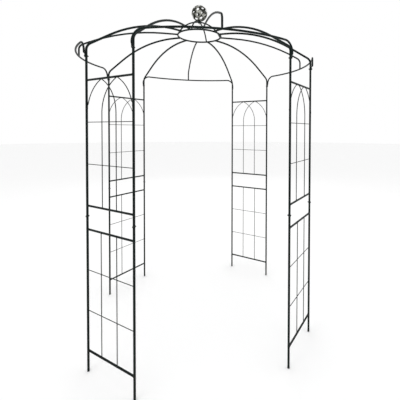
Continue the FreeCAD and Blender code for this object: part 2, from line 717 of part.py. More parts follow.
post_joints = []
rib_joints = []
for _, azimuth, _, _ in PANELS:
    panel_outward = turn(UP, azimuth).multVec(AXIS_X)
    for side in (-1, 1):
        outward = turn(UP, azimuth + side * size("panel_half_angle")).multVec(AXIS_X)
        axis_point = outward * size("post_circle_radius")
        low = axis_point + UP * worked("sizes.lower_post_length + sizes.joint_bolt_rise")
        seat = worked(f"{POST_RADIUS} + sizes.seat_gap")
        post_joints.append(bolt_frame(low + panel_outward * seat, panel_outward))
        high = axis_point + UP * worked(TOP_BOLT)
        reach = worked(f"{POST_RADIUS} + sizes.seat_gap + sizes.tab_thickness + sizes.seat_gap")
        rib_joints.append(bolt_frame(high + outward * reach, outward))
fasten("post_joint", post_joints, "sizes.post_diameter + 2 * sizes.seat_gap")
fasten("rib_joint", rib_joints, "sizes.post_diameter + sizes.tab_thickness + 3 * sizes.seat_gap")

doc.recompute()


def check_model():
    """Stop if any object failed to build or any finished piece is empty or broken."""
    for item in doc.Objects:
        if "Invalid" in item.State or "Error" in item.State:
            raise RuntimeError(f"{item.Label} failed to build: {item.State}")
    for piece in parts:
        shape = piece.Shape
        if shape.isNull() or not shape.isValid() or not shape.Solids:
            raise RuntimeError(f"{piece.Label} has no valid solid")


check_model()
os.makedirs("parts", exist_ok=True)
for piece in parts:
    piece.Shape.exportStep(f"parts/{piece.Label}.step")
    print(piece.Label, len(piece.Shape.Solids), round(piece.Shape.Volume, 1))
print("pieces", len(parts))
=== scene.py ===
import math

import bpy
from mathutils import Matrix, Quaternion, Vector


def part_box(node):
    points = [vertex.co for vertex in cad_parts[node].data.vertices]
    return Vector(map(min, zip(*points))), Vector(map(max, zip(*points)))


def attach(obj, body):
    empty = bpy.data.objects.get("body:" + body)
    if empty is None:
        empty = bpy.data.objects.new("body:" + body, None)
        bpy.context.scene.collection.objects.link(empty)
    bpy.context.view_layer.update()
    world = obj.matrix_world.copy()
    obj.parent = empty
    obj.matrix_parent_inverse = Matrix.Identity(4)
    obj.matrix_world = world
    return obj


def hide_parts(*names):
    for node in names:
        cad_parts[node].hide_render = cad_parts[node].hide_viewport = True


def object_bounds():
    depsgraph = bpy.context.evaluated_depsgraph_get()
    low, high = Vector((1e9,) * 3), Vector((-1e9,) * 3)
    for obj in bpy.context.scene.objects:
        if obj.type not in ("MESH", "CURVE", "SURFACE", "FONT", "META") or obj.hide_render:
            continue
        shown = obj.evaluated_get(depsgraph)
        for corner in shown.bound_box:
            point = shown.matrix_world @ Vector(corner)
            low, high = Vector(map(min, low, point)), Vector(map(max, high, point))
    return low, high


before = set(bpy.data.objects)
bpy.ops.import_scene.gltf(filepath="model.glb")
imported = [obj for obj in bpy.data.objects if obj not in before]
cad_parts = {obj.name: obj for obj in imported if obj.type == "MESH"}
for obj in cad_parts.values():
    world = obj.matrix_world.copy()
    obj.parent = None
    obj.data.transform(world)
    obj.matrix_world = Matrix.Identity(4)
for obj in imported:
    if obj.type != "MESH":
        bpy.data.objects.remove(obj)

# A round garden arbour of painted steel tube: sixteen posts, eight lattice sections, a roof of
# bowed lintels and ribs, a crown with an openwork ball, and the bolts and welds that hold it.
# Metres, +Z up, in the CAD frame: the front doorway faces -Y.

bl_info = {
    "name": "Garden arbour",
    "version": (1, 0, 0),
    "blender": (4, 5, 0),
    "location": "View3D > Sidebar > Arbour",
    "description": "Builds the visible pieces of a round steel garden arbour on its CAD frame",
    "category": "Add Mesh",
}

CAD_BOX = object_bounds()
BODY = "root"
PAINTED = "painted_steel"
BLACKENED = "joint_hardware"
ZINC = "zinc_hardware"
SILVERED = "ball_metal"

MM = 0.001
ORIGIN = Vector((0, 0, 0))
UP = Vector((0, 0, 1))
LEVEL_AXES = (Vector((1, 0, 0)), Vector((0, 1, 0)))
TUBE_SIDES = 28
FASTENER_SIDES = 36
WIRE_SIDES = 14
BEND_STEP = math.radians(3)
SHARP_ANGLE = math.radians(38)
SLEEVE_GAP = 0.1 * MM
THREAD_CLEARANCE = 0.05 * MM
RAIL_BURIED = 1.5 * MM
WIRE_BURIED = 0.9 * MM

# Each panel's doorway on its clockwise side, then the one on its other side.
PANELS = {
    "back_right": ("right", "back"),
    "back_left": ("back", "left"),
    "front_left": ("left", "front"),
    "front_right": ("front", "right"),
}
DOORWAYS = {"right": 0, "back": 90, "left": 180, "front": 270}
LEVEL_ROWS = 3

# Each lamp's place and width, in diagonals of the CAD box.
LAMPS = {
    "key": ((-1.4, -1.3, 1.5), 0.9),
    "fill": ((1.6, -0.9, 0.9), 1.1),
    "back": ((0.3, 1.6, 1.2), 0.9),
}


# Sizes, colours and stage settings.

def length(name, description, default):
    return bpy.props.FloatProperty(
        name=name, description=description, default=default, min=0.0, unit="LENGTH", precision=4)


def colour(name, description, default):
    return bpy.props.FloatVectorProperty(
        name=name, description=description, default=default, size=3, min=0.0, max=1.0,
        subtype="COLOR")


def share(name, description, default):
    return bpy.props.FloatProperty(
        name=name, description=description, default=default, min=0.0, max=1.0, subtype="FACTOR")


def watts(name, description, default):
    return bpy.props.FloatProperty(
        name=name, description=description, default=default, unit="POWER")


class ArbourSizes(bpy.types.PropertyGroup):
    """Sizes that the frame's boxes don't give."""
    post_wall: length("Post wall", "Wall of the posts and main ribs", 1.2 * MM)
    rail_wall: length("Rail wall", "Wall of the rails, lintels and mid ribs", 1.0 * MM)
    lip: length("Cut edge", "Rounding of a tube's cut edge", 0.45 * MM)
    neck_length: length("Neck", "Swaged end that the next tube slides over", 50 * MM)
    rail_radius: length("Rail radius", "Rails, lintels and mid ribs", 7 * MM)
    upright_radius: length("Upright radius", "Upright and arched wires", 3 * MM)
    level_radius: length("Level radius", "Level wires", 2.5 * MM)
    arch_spring: length("Arch spring", "Upper level wire to the start of the arches", 56 * MM)
    knee_height: length("Knee height", "Where a main rib's slope meets its tail", 2.237)
    knee_bend: length("Knee bend", "Bend of a main rib's knee", 60 * MM)
    shoulder_radius: length("Shoulder", "Plan radius of a main rib's shoulder", 0.560)
    rib_bend: length("Rib bend", "Bend of a main rib's shoulder", 1.041)
    mid_knee_height: length("Mid knee height", "Where a mid rib's slope meets its foot", 2.356)
    mid_knee_bend: length("Mid knee bend", "Bend of a mid rib's knee", 50 * MM)
    mid_shoulder_radius: length("Mid shoulder", "Plan radius of a mid rib's shoulder", 0.640)
    mid_rib_bend: length("Mid rib bend", "Bend of a mid rib's shoulder", 1.500)
    rib_gap: length("Rib gap", "Crown ring's rod to the end of each rib", 1 * MM)
    lintel_corner: length("Lintel corner", "Bend from a lintel to its tail", 75 * MM)
    tab_width: length("Tab width", "Flattened end of a lintel", 18 * MM)
    tab_thickness: length("Tab thickness", "Flattened end of a lintel", 3 * MM)
    tab_rise: length("Tab rise", "Bolt's axis to the top of the flat part", 14 * MM)
    ring_radius: length("Ring radius", "Crown ring, to its rod's axis", 0.192)
    leg_radius: length("Crown leg radius", "Rods of the crown's dome", 6 * MM)
    apex_height: length("Apex height", "Ground to the top of the crown legs' arc", 2.636)
    bolt_radius: length("Bolt radius", "Joint bolts", 3 * MM)
    bolt_head: length("Bolt head", "Head's diameter", 12 * MM)
    bolt_head_height: length("Bolt head height", "Head's height", 4 * MM)
    nut_width: length("Nut width", "Joint nuts across the flats", 10 * MM)
    nut_height: length("Nut height", "Joint nuts", 5 * MM)
    bolt_tail: length("Bolt tail", "Bolt's end beyond its nut", 2 * MM)
    seat_gap: length("Seat gap", "Between a round tube and a flat bolted against it", 0.1 * MM)
    stud_radius: length("Stud radius", "Stud that holds the ball", 4 * MM)
    stud_nut_width: length("Stud nut width", "Stud's nuts across the flats", 13 * MM)
    stud_nut_height: length("Stud nut height", "Stud's nuts", 6.5 * MM)
    crown_turn: bpy.props.FloatProperty(
        name="Crown turn", description="Azimuth of the crown's first arch",
        default=math.radians(62), subtype="ANGLE")
    crown_crossing: bpy.props.FloatProperty(
        name="Crown crossing", description="From the crown's first arch back to its second",
        default=math.radians(60), subtype="ANGLE")
    ball_radius: length("Ball radius", "Openwork ball, to its sheet's outer face", 70 * MM)
    ball_opening: length("Ball opening", "Radius of each opening in the ball", 15 * MM)
    ball_wall: length("Ball wall", "Openwork ball's sheet", 1.3 * MM)
    ball_rim: length("Ball rim", "Rolled edge of each opening", 1.1 * MM)
    bead: length("Weld bead", "Radius of the weld round a tube's end", 1.9 * MM)
    wire_bead: length("Wire bead", "Radius of the weld round a wire's end", 1.1 * MM)


class ArbourColours(bpy.types.PropertyGroup):
    """Colours and gloss of the finishes."""
    paint: colour("Paint", "Powder coat, bottle green to black", (0.0012, 0.0042, 0.0036))
    paint_light: colour("Thin paint", "Powder coat where it lies thin", (0.0026, 0.0084, 0.0072))
    primer: colour("Rubbed edge", "Where the coat is rubbed thin", (0.040, 0.050, 0.047))
    soil: colour("Soil", "Dust near the ground", (0.040, 0.036, 0.028))
    black_steel: colour("Black steel", "Joint bolts and nuts", (0.007, 0.009, 0.009))
    grey_steel: colour("Grey steel", "Joint bolts and nuts in patches", (0.035, 0.038, 0.036))
    zinc: colour("Zinc", "Stud and its nuts", (0.36, 0.37, 0.36))
    zinc_cast: colour("Zinc cast", "Yellow cast on the stud and its nuts", (0.34, 0.32, 0.24))
    silver: colour("Silver", "Ball", (0.42, 0.42, 0.38))
    tarnish: colour("Tarnish", "Ball's darker patches", (0.012, 0.013, 0.010))
    paint_gloss: share("Paint roughness", "Powder coat", 0.42)


class ArbourStage(bpy.types.PropertyGroup):
    """Camera, floor and lights."""
    eye_side: length("Eye side", "Camera's place left of the centre", 0.3802)
    eye_back: length("Eye back", "Camera's place in front of the centre", 2.8021)
    eye_height: length("Eye height", "Camera above the ground", 1.6676)
    yaw: bpy.props.FloatProperty(
        name="Yaw", description="Camera's turn to the right", default=math.radians(14.821),
        subtype="ANGLE")
    pitch: bpy.props.FloatProperty(
        name="Pitch", description="Camera's tilt down", default=math.radians(1.152),
        subtype="ANGLE")
    roll: bpy.props.FloatProperty(
        name="Roll", description="Camera's roll", default=math.radians(0.163), subtype="ANGLE")
    lens: bpy.props.FloatProperty(
        name="Lens", description="Focal length in millimetres", default=27.78, min=1.0)
    shift_side: bpy.props.FloatProperty(
        name="Shift side", description="Lens shift across", default=-0.0946)
    shift_up: bpy.props.FloatProperty(
        name="Shift up", description="Lens shift up", default=-0.1601)
    floor_radius: length("Floor radius", "Plain pale floor", 40.0)
    floor: colour("Floor", "Floor's colour", (0.95, 0.95, 0.95))
    sky: share("Sky", "Brightness of the soft light all round", 1.0)
    key: watts("Key light", "Large soft lamp, front left", 80.0)
    fill: watts("Fill light", "Large soft lamp, front right", 40.0)
    back: watts("Back light", "Large soft lamp behind", 40.0)


def sizes():
    return bpy.context.scene.arbour_sizes


def colours():
    return bpy.context.scene.arbour_colours


# What the frame says.

def middle(node):
    """The middle of a node's box."""
    low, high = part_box(node)
    return (Vector(low) + Vector(high)) / 2


def height_range(node):
    low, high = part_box(node)
    return low[2], high[2]


def plan(point):
    return Vector((point[0], point[1], 0))


def post_foot(panel, doorway):
    """The point on the ground on a post's axis."""
    return plan(middle(f"lower_post_{panel}_{doorway}"))


def post_radius():
    low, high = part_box("lower_post_front_left_front")
    return (high[0] - low[0]) / 2


def outward_at(point):
    return plan(point).normalized()


def level_direction(azimuth):
    return Vector((math.cos(azimuth), math.sin(azimuth), 0))


def doorway_direction(doorway):
    return level_direction(math.radians(DOORWAYS[doorway]))


def lintel_line():
    """The plan radius and the height of the lintels' axes."""
    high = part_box("lintel_right")[1]
    return high[0] - sizes().rail_radius, high[2] - sizes().rail_radius


def ring_height():
    return middle("crown_ring")[2]


def ring_rod():
    low, high = height_range("crown_ring")
    return (high - low) / 2


def panel_frame(panel):
    """A panel's middle on the ground, the ways along it and outward, and half its width."""
    clockwise, other = (post_foot(panel, doorway) for doorway in PANELS[panel])
    along = (clockwise - other).normalized()
    centre = (clockwise + other) / 2
    return centre, along, centre.normalized(), (clockwise - other).length / 2


# Lines and rings.

def eased(part):
    """Smoothly from 0 to 1."""
    return part * part * (3 - 2 * part)


def bent_line(corners, bends):
    """Points along straight runs, with a tangent arc at each inner corner."""
    points = [corners[0]]
    for before, corner, after, radius in zip(corners, corners[1:], corners[2:], bends):
        way_in = (corner - before).normalized()
        way_out = (after - corner).normalized()
        turn = way_in.angle(way_out)
        centre = corner + (way_out - way_in).normalized() * radius / math.cos(turn / 2)
        first = corner - way_in * radius * math.tan(turn / 2) - centre
        axis = way_in.cross(way_out)
        steps = max(3, math.ceil(turn / BEND_STEP))
        for step in range(steps + 1):
            points.append(centre + Quaternion(axis, turn * step / steps) @ first)
    points.append(corners[-1])
    return points


def axes_along(line, reference):
    """Two side axes and the direction at each point of a line; reference gives the first axis."""
    axes = []
    for index, point in enumerate(line):
        before = line[max(index - 1, 0)]
        after = line[min(index + 1, len(line) - 1)]
        direction = (after - before).normalized()
        side = reference(point)
        side = (side - direction * side.dot(direction)).normalized()
        axes.append((side, direction.cross(side), direction))
    return axes


def round_section(radius):
    return lambda angle: (radius * math.cos(angle), radius * math.sin(angle))


def flattened_section(thick, wide, squareness):
    """Half thickness and half width of an oval whose sides are flatter above a squareness of 2."""
    def section(angle):
        across = math.copysign(abs(math.cos(angle)) ** (2 / squareness), math.cos(angle))
        along = math.copysign(abs(math.sin(angle)) ** (2 / squareness), math.sin(angle))
        return thick * across, wide * along
    return section


def hexagon_section(half_width, limit):
    """A hexagon whose corners are cut to a circle."""
    def section(angle):
        from_flat = (angle + math.pi / 6) % (math.pi / 3) - math.pi / 6
        reach = min(half_width / math.cos(from_flat), limit)
        return reach * math.cos(angle), reach * math.sin(angle)
    return section


def ring(centre, axes, section, count=TUBE_SIDES):
    """Points of a section round a centre, anticlockwise about the third axis."""
    points = []
    for index in range(count):
        across, along = section(math.tau * index / count)
        points.append(centre + axes[0] * across + axes[1] * along)
    return points


class Shape:
    """A mesh in the making: skins over rows of rings, with the wear at each ring."""

    def __init__(self):
        self.points = []
        self.faces = []
        self.wear = []

    def add_skin(self, rings, wear=None, closed=False):
        """Join a row of rings; a closed row joins last to first, and others are capped."""
        count = len(rings[0])
        first = len(self.points)
        for number, points in enumerate(rings):
            self.points += points
            self.wear += [wear[number] if wear else 0.0] * count
        last = len(rings) - 1
        steps = [(number, number + 1) for number in range(last)]
        if closed:
            steps.append((last, 0))
        for low, high in steps:
            for index in range(count):
                following = (index + 1) % count
                self.faces.append([
                    first + low * count + index,
                    first + low * count + following,
                    first + high * count + following,
                    first + high * count + index,
                ])
        if not closed:
            self.faces.append([first + index for index in reversed(range(count))])
            self.faces.append([first + last * count + index for index in range(count)])

    def to_mesh(self, name, finish):
        mesh = bpy.data.meshes.new(name)
        mesh.from_pydata(self.points, [], self.faces)
        worn = mesh.attributes.new("wear", "FLOAT", "POINT")
        worn.data.foreach_set("value", self.wear)
        mesh.materials.append(finish)
        mesh.shade_smooth()
        mesh.set_sharp_from_angle(angle=SHARP_ANGLE)
        mesh.validate()
        return mesh


def add_turned(shape, foot, profile, count=TUBE_SIDES, closed=True):
    """A skin turned about an upright line; the profile is (height, section, wear)."""
    rings = [ring(foot + UP * height, LEVEL_AXES, section, count) for height, section, _ in profile]
    shape.add_skin(rings, [wear for _, _, wear in profile], closed)


def add_tube(shape, line, reference, radius, wall):
    """A bent tube along a line, with its bore and rounded cut edges."""
    lip = sizes().lip
    fade = 12 * lip
    axes = axes_along(line, reference)
    near = 1 - math.sqrt(0.5)
    ends = [(0, lip, 1), (near * lip, near * lip, 1), (lip, 0, 1), (fade, 0, 0)]
    start, finish = line[0], line[-1]
    way_in, way_out = axes[0][2], axes[-1][2]
    stations = [(start + way_in * along, axes[0], inset, wear) for along, inset, wear in ends]
    stations += [(point, axis, 0, 0) for point, axis in zip(line[1:-1], axes[1:-1])]
    stations += [(finish - way_out * along, axes[-1], inset, wear)
                 for along, inset, wear in reversed(ends)]
    rings = [ring(point, axis, round_section(radius - inset)) for point, axis, inset, _ in stations]
    bore = radius - wall
    rings += [ring(point, axis, round_section(bore + inset))
              for point, axis, inset, _ in reversed(stations)]
    wear = [item[3] for item in stations]
    shape.add_skin(rings, wear + wear[::-1], closed=True)


# Node helpers.

def add_node(tree, kind, inputs=None, **settings):
    """Add a node; inputs maps a socket's name or number to a value or to another node's output."""
    made = tree.nodes.new(kind)
    for name, value in settings.items():
        setattr(made, name, value)
    for name, value in (inputs or {}).items():
        feed(tree, made.inputs, name, value)
    return made


def live_socket(sockets, name):
    """A socket by number, or the enabled one of several that share a name."""
    if isinstance(name, int):
        return sockets[name]
    return next(socket for socket in sockets if socket.name == name and socket.enabled)


def feed(tree, sockets, name, value):
    """Link another node's output to a socket, or set the socket to a plain value."""
    socket = live_socket(sockets, name)
    if isinstance(value, bpy.types.NodeSocket):
        tree.links.new(value, socket)
    else:
        socket.default_value = value


def calculate(tree, operation, *values):
    made = add_node(tree, "ShaderNodeMath", dict(enumerate(values)), operation=operation)
    return made.outputs[0]


def calculate_vector(tree, operation, *values, scale=None):
    made = add_node(tree, "ShaderNodeVectorMath", dict(enumerate(values)), operation=operation)
    if scale is not None:
        feed(tree, made.inputs, "Scale", scale)
    return made


def named_value(tree, name, kind="FLOAT"):
    made = add_node(tree, "GeometryNodeInputNamedAttribute", {"Name": name}, data_type=kind)
    return made.outputs[0]


def new_geometry_tree(name, inputs):
    """A Geometry Nodes tree with named inputs, its inputs' outputs and its group output."""
    tree = bpy.data.node_groups.new(name, "GeometryNodeTree")
    tree.interface.new_socket("Geometry", in_out="INPUT", socket_type="NodeSocketGeometry")
    for label, (kind, default) in inputs.items():
        socket = tree.interface.new_socket(label, in_out="INPUT", socket_type=kind)
        if default is not None:
            socket.default_value = default
    tree.interface.new_socket("Finish", in_out="INPUT", socket_type="NodeSocketMaterial")
    tree.interface.new_socket("Geometry", in_out="OUTPUT", socket_type="NodeSocketGeometry")
    source = tree.nodes.new("NodeGroupInput").outputs
    return tree, source, tree.nodes.new("NodeGroupOutput")


def shaded_smooth(tree, geometry):
    return add_node(tree, "GeometryNodeSetShadeSmooth", {"Geometry": geometry}).outputs[0]


def finish_tree(tree, source, output, geometry):
    """Realize what was instanced and give it the finish from the tree's input."""
    real = add_node(tree, "GeometryNodeRealizeInstances", {"Geometry": geometry})
    painted = add_node(tree, "GeometryNodeSetMaterial",
                       {"Geometry": real.outputs[0], "Material": source["Finish"]})
    tree.links.new(painted.outputs[0], output.inputs[0])
    return tree


def swept(tree, curve, count, caps):
    """A round section of radius 1, scaled by the curve's radius, along a curve."""
    profile = add_node(tree, "GeometryNodeCurvePrimitiveCircle",
                       {"Resolution": count, "Radius": 1.0})
    radius = add_node(tree, "GeometryNodeInputRadius").outputs[0]
    return add_node(tree, "GeometryNodeCurveToMesh", {
        "Curve": curve, "Profile Curve": profile.outputs[0], "Scale": radius, "Fill Caps": caps})


def rods_tree():
    """Round rods along the carrier's edges, as thick as its points say."""
    tree, source, output = new_geometry_tree("round_rods", {"Sides": ("NodeSocketInt", WIRE_SIDES)})
    curve = add_node(tree, "GeometryNodeMeshToCurve", {"Mesh": source["Geometry"]})
    sized = add_node(tree, "GeometryNodeSetCurveRadius",
                     {"Curve": curve.outputs[0], "Radius": named_value(tree, "thickness")})
    rods = swept(tree, sized.outputs[0], source["Sides"], True)
    return finish_tree(tree, source, output, shaded_smooth(tree, rods.outputs[0]))


def beads_tree():
    """Weld beads along closed lines: a rippled run of metal, a little uneven in size from place to
    place.
    """
    tree, source, output = new_geometry_tree("weld_beads", {
        "Spacing": ("NodeSocketFloat", 0.9 * MM),
        "Ripple": ("NodeSocketFloat", 2.6 * MM),
        "Ripple Depth": ("NodeSocketFloat", 0.13),
        "Unevenness": ("NodeSocketFloat", 0.35),
        "Seed": ("NodeSocketFloat", 4.0),
    })
    curve = add_node(tree, "GeometryNodeMeshToCurve", {"Mesh": source["Geometry"]})
    even = add_node(tree, "GeometryNodeResampleCurve",
                    {"Curve": curve.outputs[0], "Length": source["Spacing"]}, mode="LENGTH")
    along = add_node(tree, "GeometryNodeSplineParameter").outputs["Length"]
    ripples = calculate(tree, "DIVIDE", along, source["Ripple"])
    phase = calculate(tree, "MULTIPLY", ripples, math.tau)
    ripple = calculate(tree, "MULTIPLY", calculate(tree, "SINE", phase), source["Ripple Depth"])
    place = add_node(tree, "GeometryNodeInputPosition").outputs[0]
    patchy = add_node(tree, "ShaderNodeTexNoise",
                      {"Vector": place, "W": source["Seed"], "Scale": 260.0, "Detail": 2.0},
                      noise_dimensions="4D")
    uneven = calculate(tree, "MULTIPLY", calculate(tree, "SUBTRACT", patchy.outputs[0], 0.5),
                       source["Unevenness"])
    swell = calculate(tree, "ADD", calculate(tree, "ADD", ripple, uneven), 1.0)
    thickness = calculate(tree, "MULTIPLY", named_value(tree, "thickness"), swell)
    sized = add_node(tree, "GeometryNodeSetCurveRadius",
                     {"Curve": even.outputs[0], "Radius": thickness})
    beads = swept(tree, sized.outputs[0], 8, False)
    return finish_tree(tree, source, output, shaded_smooth(tree, beads.outputs[0]))


def spots_tree():
    """A small pool of weld metal at every carrier point, pressed flat along its facing."""
    tree, source, output = new_geometry_tree("weld_spots", {
        "Radius": ("NodeSocketFloat", 3.4 * MM),
        "Flatness": ("NodeSocketFloat", 0.62),
        "Seed": ("NodeSocketInt", 7),
    })
    pool = add_node(tree, "GeometryNodeMeshIcoSphere",
                    {"Radius": source["Radius"], "Subdivisions": 3})
    size = add_node(tree, "FunctionNodeRandomValue",
                    {"Min": 0.85, "Max": 1.12, "Seed": source["Seed"]}, data_type="FLOAT")
    random_size = live_socket(size.outputs, "Value")
    flat = add_node(tree, "ShaderNodeCombineXYZ", {0: random_size, 1: random_size})
    tree.links.new(calculate(tree, "MULTIPLY", random_size, source["Flatness"]), flat.inputs[2])
    facing = named_value(tree, "facing", "FLOAT_VECTOR")
    turned = add_node(tree, "FunctionNodeAlignRotationToVector", {"Vector": facing}, axis="Z")
    spots = add_node(tree, "GeometryNodeInstanceOnPoints", {
        "Points": source["Geometry"],
        "Instance": pool.outputs[0],
        "Rotation": turned.outputs[0],
        "Scale": flat.outputs[0],
    })
    return finish_tree(tree, source, output, shaded_smooth(tree, spots.outputs[0]))


def fasteners_tree():
    """One copy of a fastener at every carrier point, its own Z along the point's facing."""
    tree, source, output = new_geometry_tree("fasteners", {
        "Fastener": ("NodeSocketObject", None),
        "Spin": ("NodeSocketFloat", 0.9),
    })
    fastener = add_node(tree, "GeometryNodeObjectInfo", {"Object": source["Fastener"]})
    facing = named_value(tree, "facing", "FLOAT_VECTOR")
    turned = add_node(tree, "FunctionNodeAlignRotationToVector", {"Vector": facing}, axis="Z")
    number = add_node(tree, "GeometryNodeInputIndex").outputs[0]
    spin = calculate(tree, "MULTIPLY", number, source["Spin"])
    own_turn = add_node(tree, "FunctionNodeAxisAngleToRotation", {"Axis": (0, 0, 1), "Angle": spin})
    rotation = add_node(tree, "FunctionNodeRotateRotation", {
        "Rotation": turned.outputs[0], "Rotate By": own_turn.outputs[0]}, rotation_space="LOCAL")
    copies = add_node(tree, "GeometryNodeInstanceOnPoints", {
        "Points": source["Geometry"],
        "Instance": fastener.outputs["Geometry"],
        "Rotation": rotation.outputs[0],
    })
    return finish_tree(tree, source, output, copies.outputs[0])


def on_sphere(tree, geometry, radius):
    """Move every point of some geometry out to a sphere about the carrier's origin."""
    place = add_node(tree, "GeometryNodeInputPosition").outputs[0]
    way = calculate_vector(tree, "NORMALIZE", place).outputs[0]
    moved = calculate_vector(tree, "SCALE", way, scale=radius).outputs[0]
    made = add_node(tree, "GeometryNodeSetPosition", {"Geometry": geometry, "Position": moved})
    return made.outputs[0]


def ball_tree():
    """A thin ball with a round opening at each corner and face of an icosahedron but the lowest."""
    tree, source, output = new_geometry_tree("openwork_ball", {
        "Radius": ("NodeSocketFloat", 70 * MM),
        "Opening": ("NodeSocketFloat", 15 * MM),
        "Wall": ("NodeSocketFloat", 1.3 * MM),
        "Rim": ("NodeSocketFloat", 1.1 * MM),
        "Centre": ("NodeSocketVector", (0.0, 0.0, 0.0)),
    })
    inner = calculate(tree, "SUBTRACT", source["Radius"], source["Wall"])
    solid = add_node(tree, "GeometryNodeMeshIcoSphere", {"Radius": 1.0, "Subdivisions": 1})
    corners, faces = (
        add_node(tree, "GeometryNodeMeshToPoints", {"Mesh": solid.outputs[0]}, mode=mode)
        for mode in ("VERTICES", "FACES"))
    both = add_node(tree, "GeometryNodeJoinGeometry", {"Geometry": corners.outputs[0]})
    tree.links.new(faces.outputs[0], both.inputs[0])
    squares = [calculate(tree, "MULTIPLY", value, value) for value in (inner, source["Opening"])]
    seat = calculate(tree, "SQRT", calculate(tree, "SUBTRACT", *squares))
    centres = on_sphere(tree, both.outputs[0], seat)
    place = add_node(tree, "GeometryNodeInputPosition").outputs[0]
    height = add_node(tree, "ShaderNodeSeparateXYZ", {0: place}).outputs[2]
    near_foot = calculate(tree, "MULTIPLY", seat, -0.95)
    lowest = calculate(tree, "LESS_THAN", height, near_foot)
    openings = add_node(tree, "GeometryNodeDeleteGeometry",
                        {"Geometry": centres, "Selection": lowest}, domain="POINT")
    facing = add_node(tree, "FunctionNodeAlignRotationToVector", {"Vector": place}, axis="Z")
    edge = add_node(tree, "GeometryNodeMeshCircle", {"Vertices": 32, "Radius": source["Opening"]})
    edges = add_node(tree, "GeometryNodeInstanceOnPoints", {
        "Points": openings.outputs[0], "Instance": edge.outputs[0], "Rotation": facing.outputs[0]})
    edges_real = add_node(tree, "GeometryNodeRealizeInstances", {"Geometry": edges.outputs[0]})
    hull = add_node(tree, "GeometryNodeConvexHull", {"Geometry": edges_real.outputs[0]})
    normal = add_node(tree, "GeometryNodeInputNormal").outputs[0]
    depth = calculate_vector(tree, "DOT_PRODUCT", normal, place).outputs["Value"]
    tolerance = 0.05 * MM
    cap = calculate(tree, "COMPARE", depth, seat, tolerance)
    sheet = add_node(tree, "GeometryNodeDeleteGeometry",
                     {"Geometry": hull.outputs[0], "Selection": cap}, domain="FACE")
    fine = add_node(tree, "GeometryNodeSubdivideMesh", {"Mesh": sheet.outputs[0], "Level": 2})
    inside = on_sphere(tree, fine.outputs[0], inner)
    raised = add_node(tree, "GeometryNodeExtrudeMesh", {
        "Mesh": inside, "Offset Scale": source["Wall"], "Individual": False}, mode="FACES")
    turned = add_node(tree, "GeometryNodeFlipFaces", {"Mesh": inside})
    shell = add_node(tree, "GeometryNodeJoinGeometry", {"Geometry": raised.outputs[0]})
    tree.links.new(turned.outputs[0], shell.inputs[0])
    joined = add_node(tree, "GeometryNodeMergeByDistance",
                      {"Geometry": shell.outputs[0], "Distance": 0.001 * MM})
    loop = add_node(tree, "GeometryNodeCurvePrimitiveCircle",
                    {"Resolution": 40, "Radius": source["Opening"]})
    thick = add_node(tree, "GeometryNodeSetCurveRadius",
                     {"Curve": loop.outputs[0], "Radius": source["Rim"]})
    rim = swept(tree, thick.outputs[0], 10, False)
    rims = add_node(tree, "GeometryNodeInstanceOnPoints", {
        "Points": openings.outputs[0], "Instance": rim.outputs[0], "Rotation": facing.outputs[0]})
    whole = add_node(tree, "GeometryNodeJoinGeometry", {"Geometry": joined.outputs[0]})
    tree.links.new(rims.outputs[0], whole.inputs[0])
    raised_up = add_node(tree, "GeometryNodeTransform",
                         {"Geometry": whole.outputs[0], "Translation": source["Centre"]})
    return finish_tree(tree, source, output, shaded_smooth(tree, raised_up.outputs[0]))


TREES = {
    "round_rods": rods_tree,
    "weld_beads": beads_tree,
    "weld_spots": spots_tree,
    "fasteners": fasteners_tree,
    "openwork_ball": ball_tree,
}


def add_object(name, data):
    made = bpy.data.objects.new(name, data)
    bpy.context.scene.collection.objects.link(made)
    return made


def grown_mesh(name, carrier, tree_name, values):
    """The plain mesh that a tree makes on a carrier mesh."""
    tree = bpy.data.node_groups.get(tree_name) or TREES[tree_name]()
    holder = add_object(f"{name}_lines", carrier)
    modifier = holder.modifiers.new(tree_name, "NODES")
    modifier.node_group = tree
    for item in tree.interface.items_tree:
        if item.in_out == "INPUT" and item.name in values:
            modifier[item.identifier] = values[item.name]
    graph = bpy.context.evaluated_depsgraph_get()
    mesh = bpy.data.meshes.new_from_object(
        holder.evaluated_get(graph), preserve_all_data_layers=True, depsgraph=graph)
    holder.modifiers.remove(modifier)
    bpy.data.objects.remove(holder)
    bpy.data.meshes.remove(carrier)
    if not mesh.polygons:
        raise RuntimeError(f"{tree_name} made nothing for {name}")
    mesh.name = name
    return mesh


def carrier_of_lines(lines):
    """A mesh of bare edges: each line is (points, thickness, whether it closes)."""
    points = []
    edges = []
    thickness = []
    for line, radius, closed in lines:
        first = len(points)
        points += line
        thickness += [radius] * len(line)
        edges += [(first + index, first + index + 1) for index in range(len(line) - 1)]
        if closed:
            edges.append((first + len(line) - 1, first))
    mesh = bpy.data.meshes.new("lines")
    mesh.from_pydata(points, edges, [])
    mesh.attributes.new("thickness", "FLOAT", "POINT").data.foreach_set("value", thickness)
    return mesh


def carrier_of_points(places):
    """A mesh of bare points, each with the direction that it faces."""
    mesh = bpy.data.meshes.new("points")
    mesh.from_pydata([point for point, _ in places], [], [])
    facing = mesh.attributes.new("facing", "FLOAT_VECTOR", "POINT")
    facing.data.foreach_set("vector", [number for _, way in places for number in way])
    return mesh


def put(name, mesh, nodes=()):
    """Make a piece of a mesh, riding on the frame, in place of the CAD nodes that it stands for."""
    piece = add_object(name, mesh)
    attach(piece, BODY)
    if nodes:
        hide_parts(*nodes)
    return piece


# Finishes. All patterns read object coordinates, in metres, or the wear at a vertex.

def new_finish(name):
    """A material with its tree, its shader and its object coordinates."""
    material = bpy.data.materials.new(name)
    material.use_nodes = True
    tree = material.node_tree
    shader = tree.nodes["Principled BSDF"]
    place = add_node(tree, "ShaderNodeTexCoord").outputs["Object"]
    return material, tree, shader, place


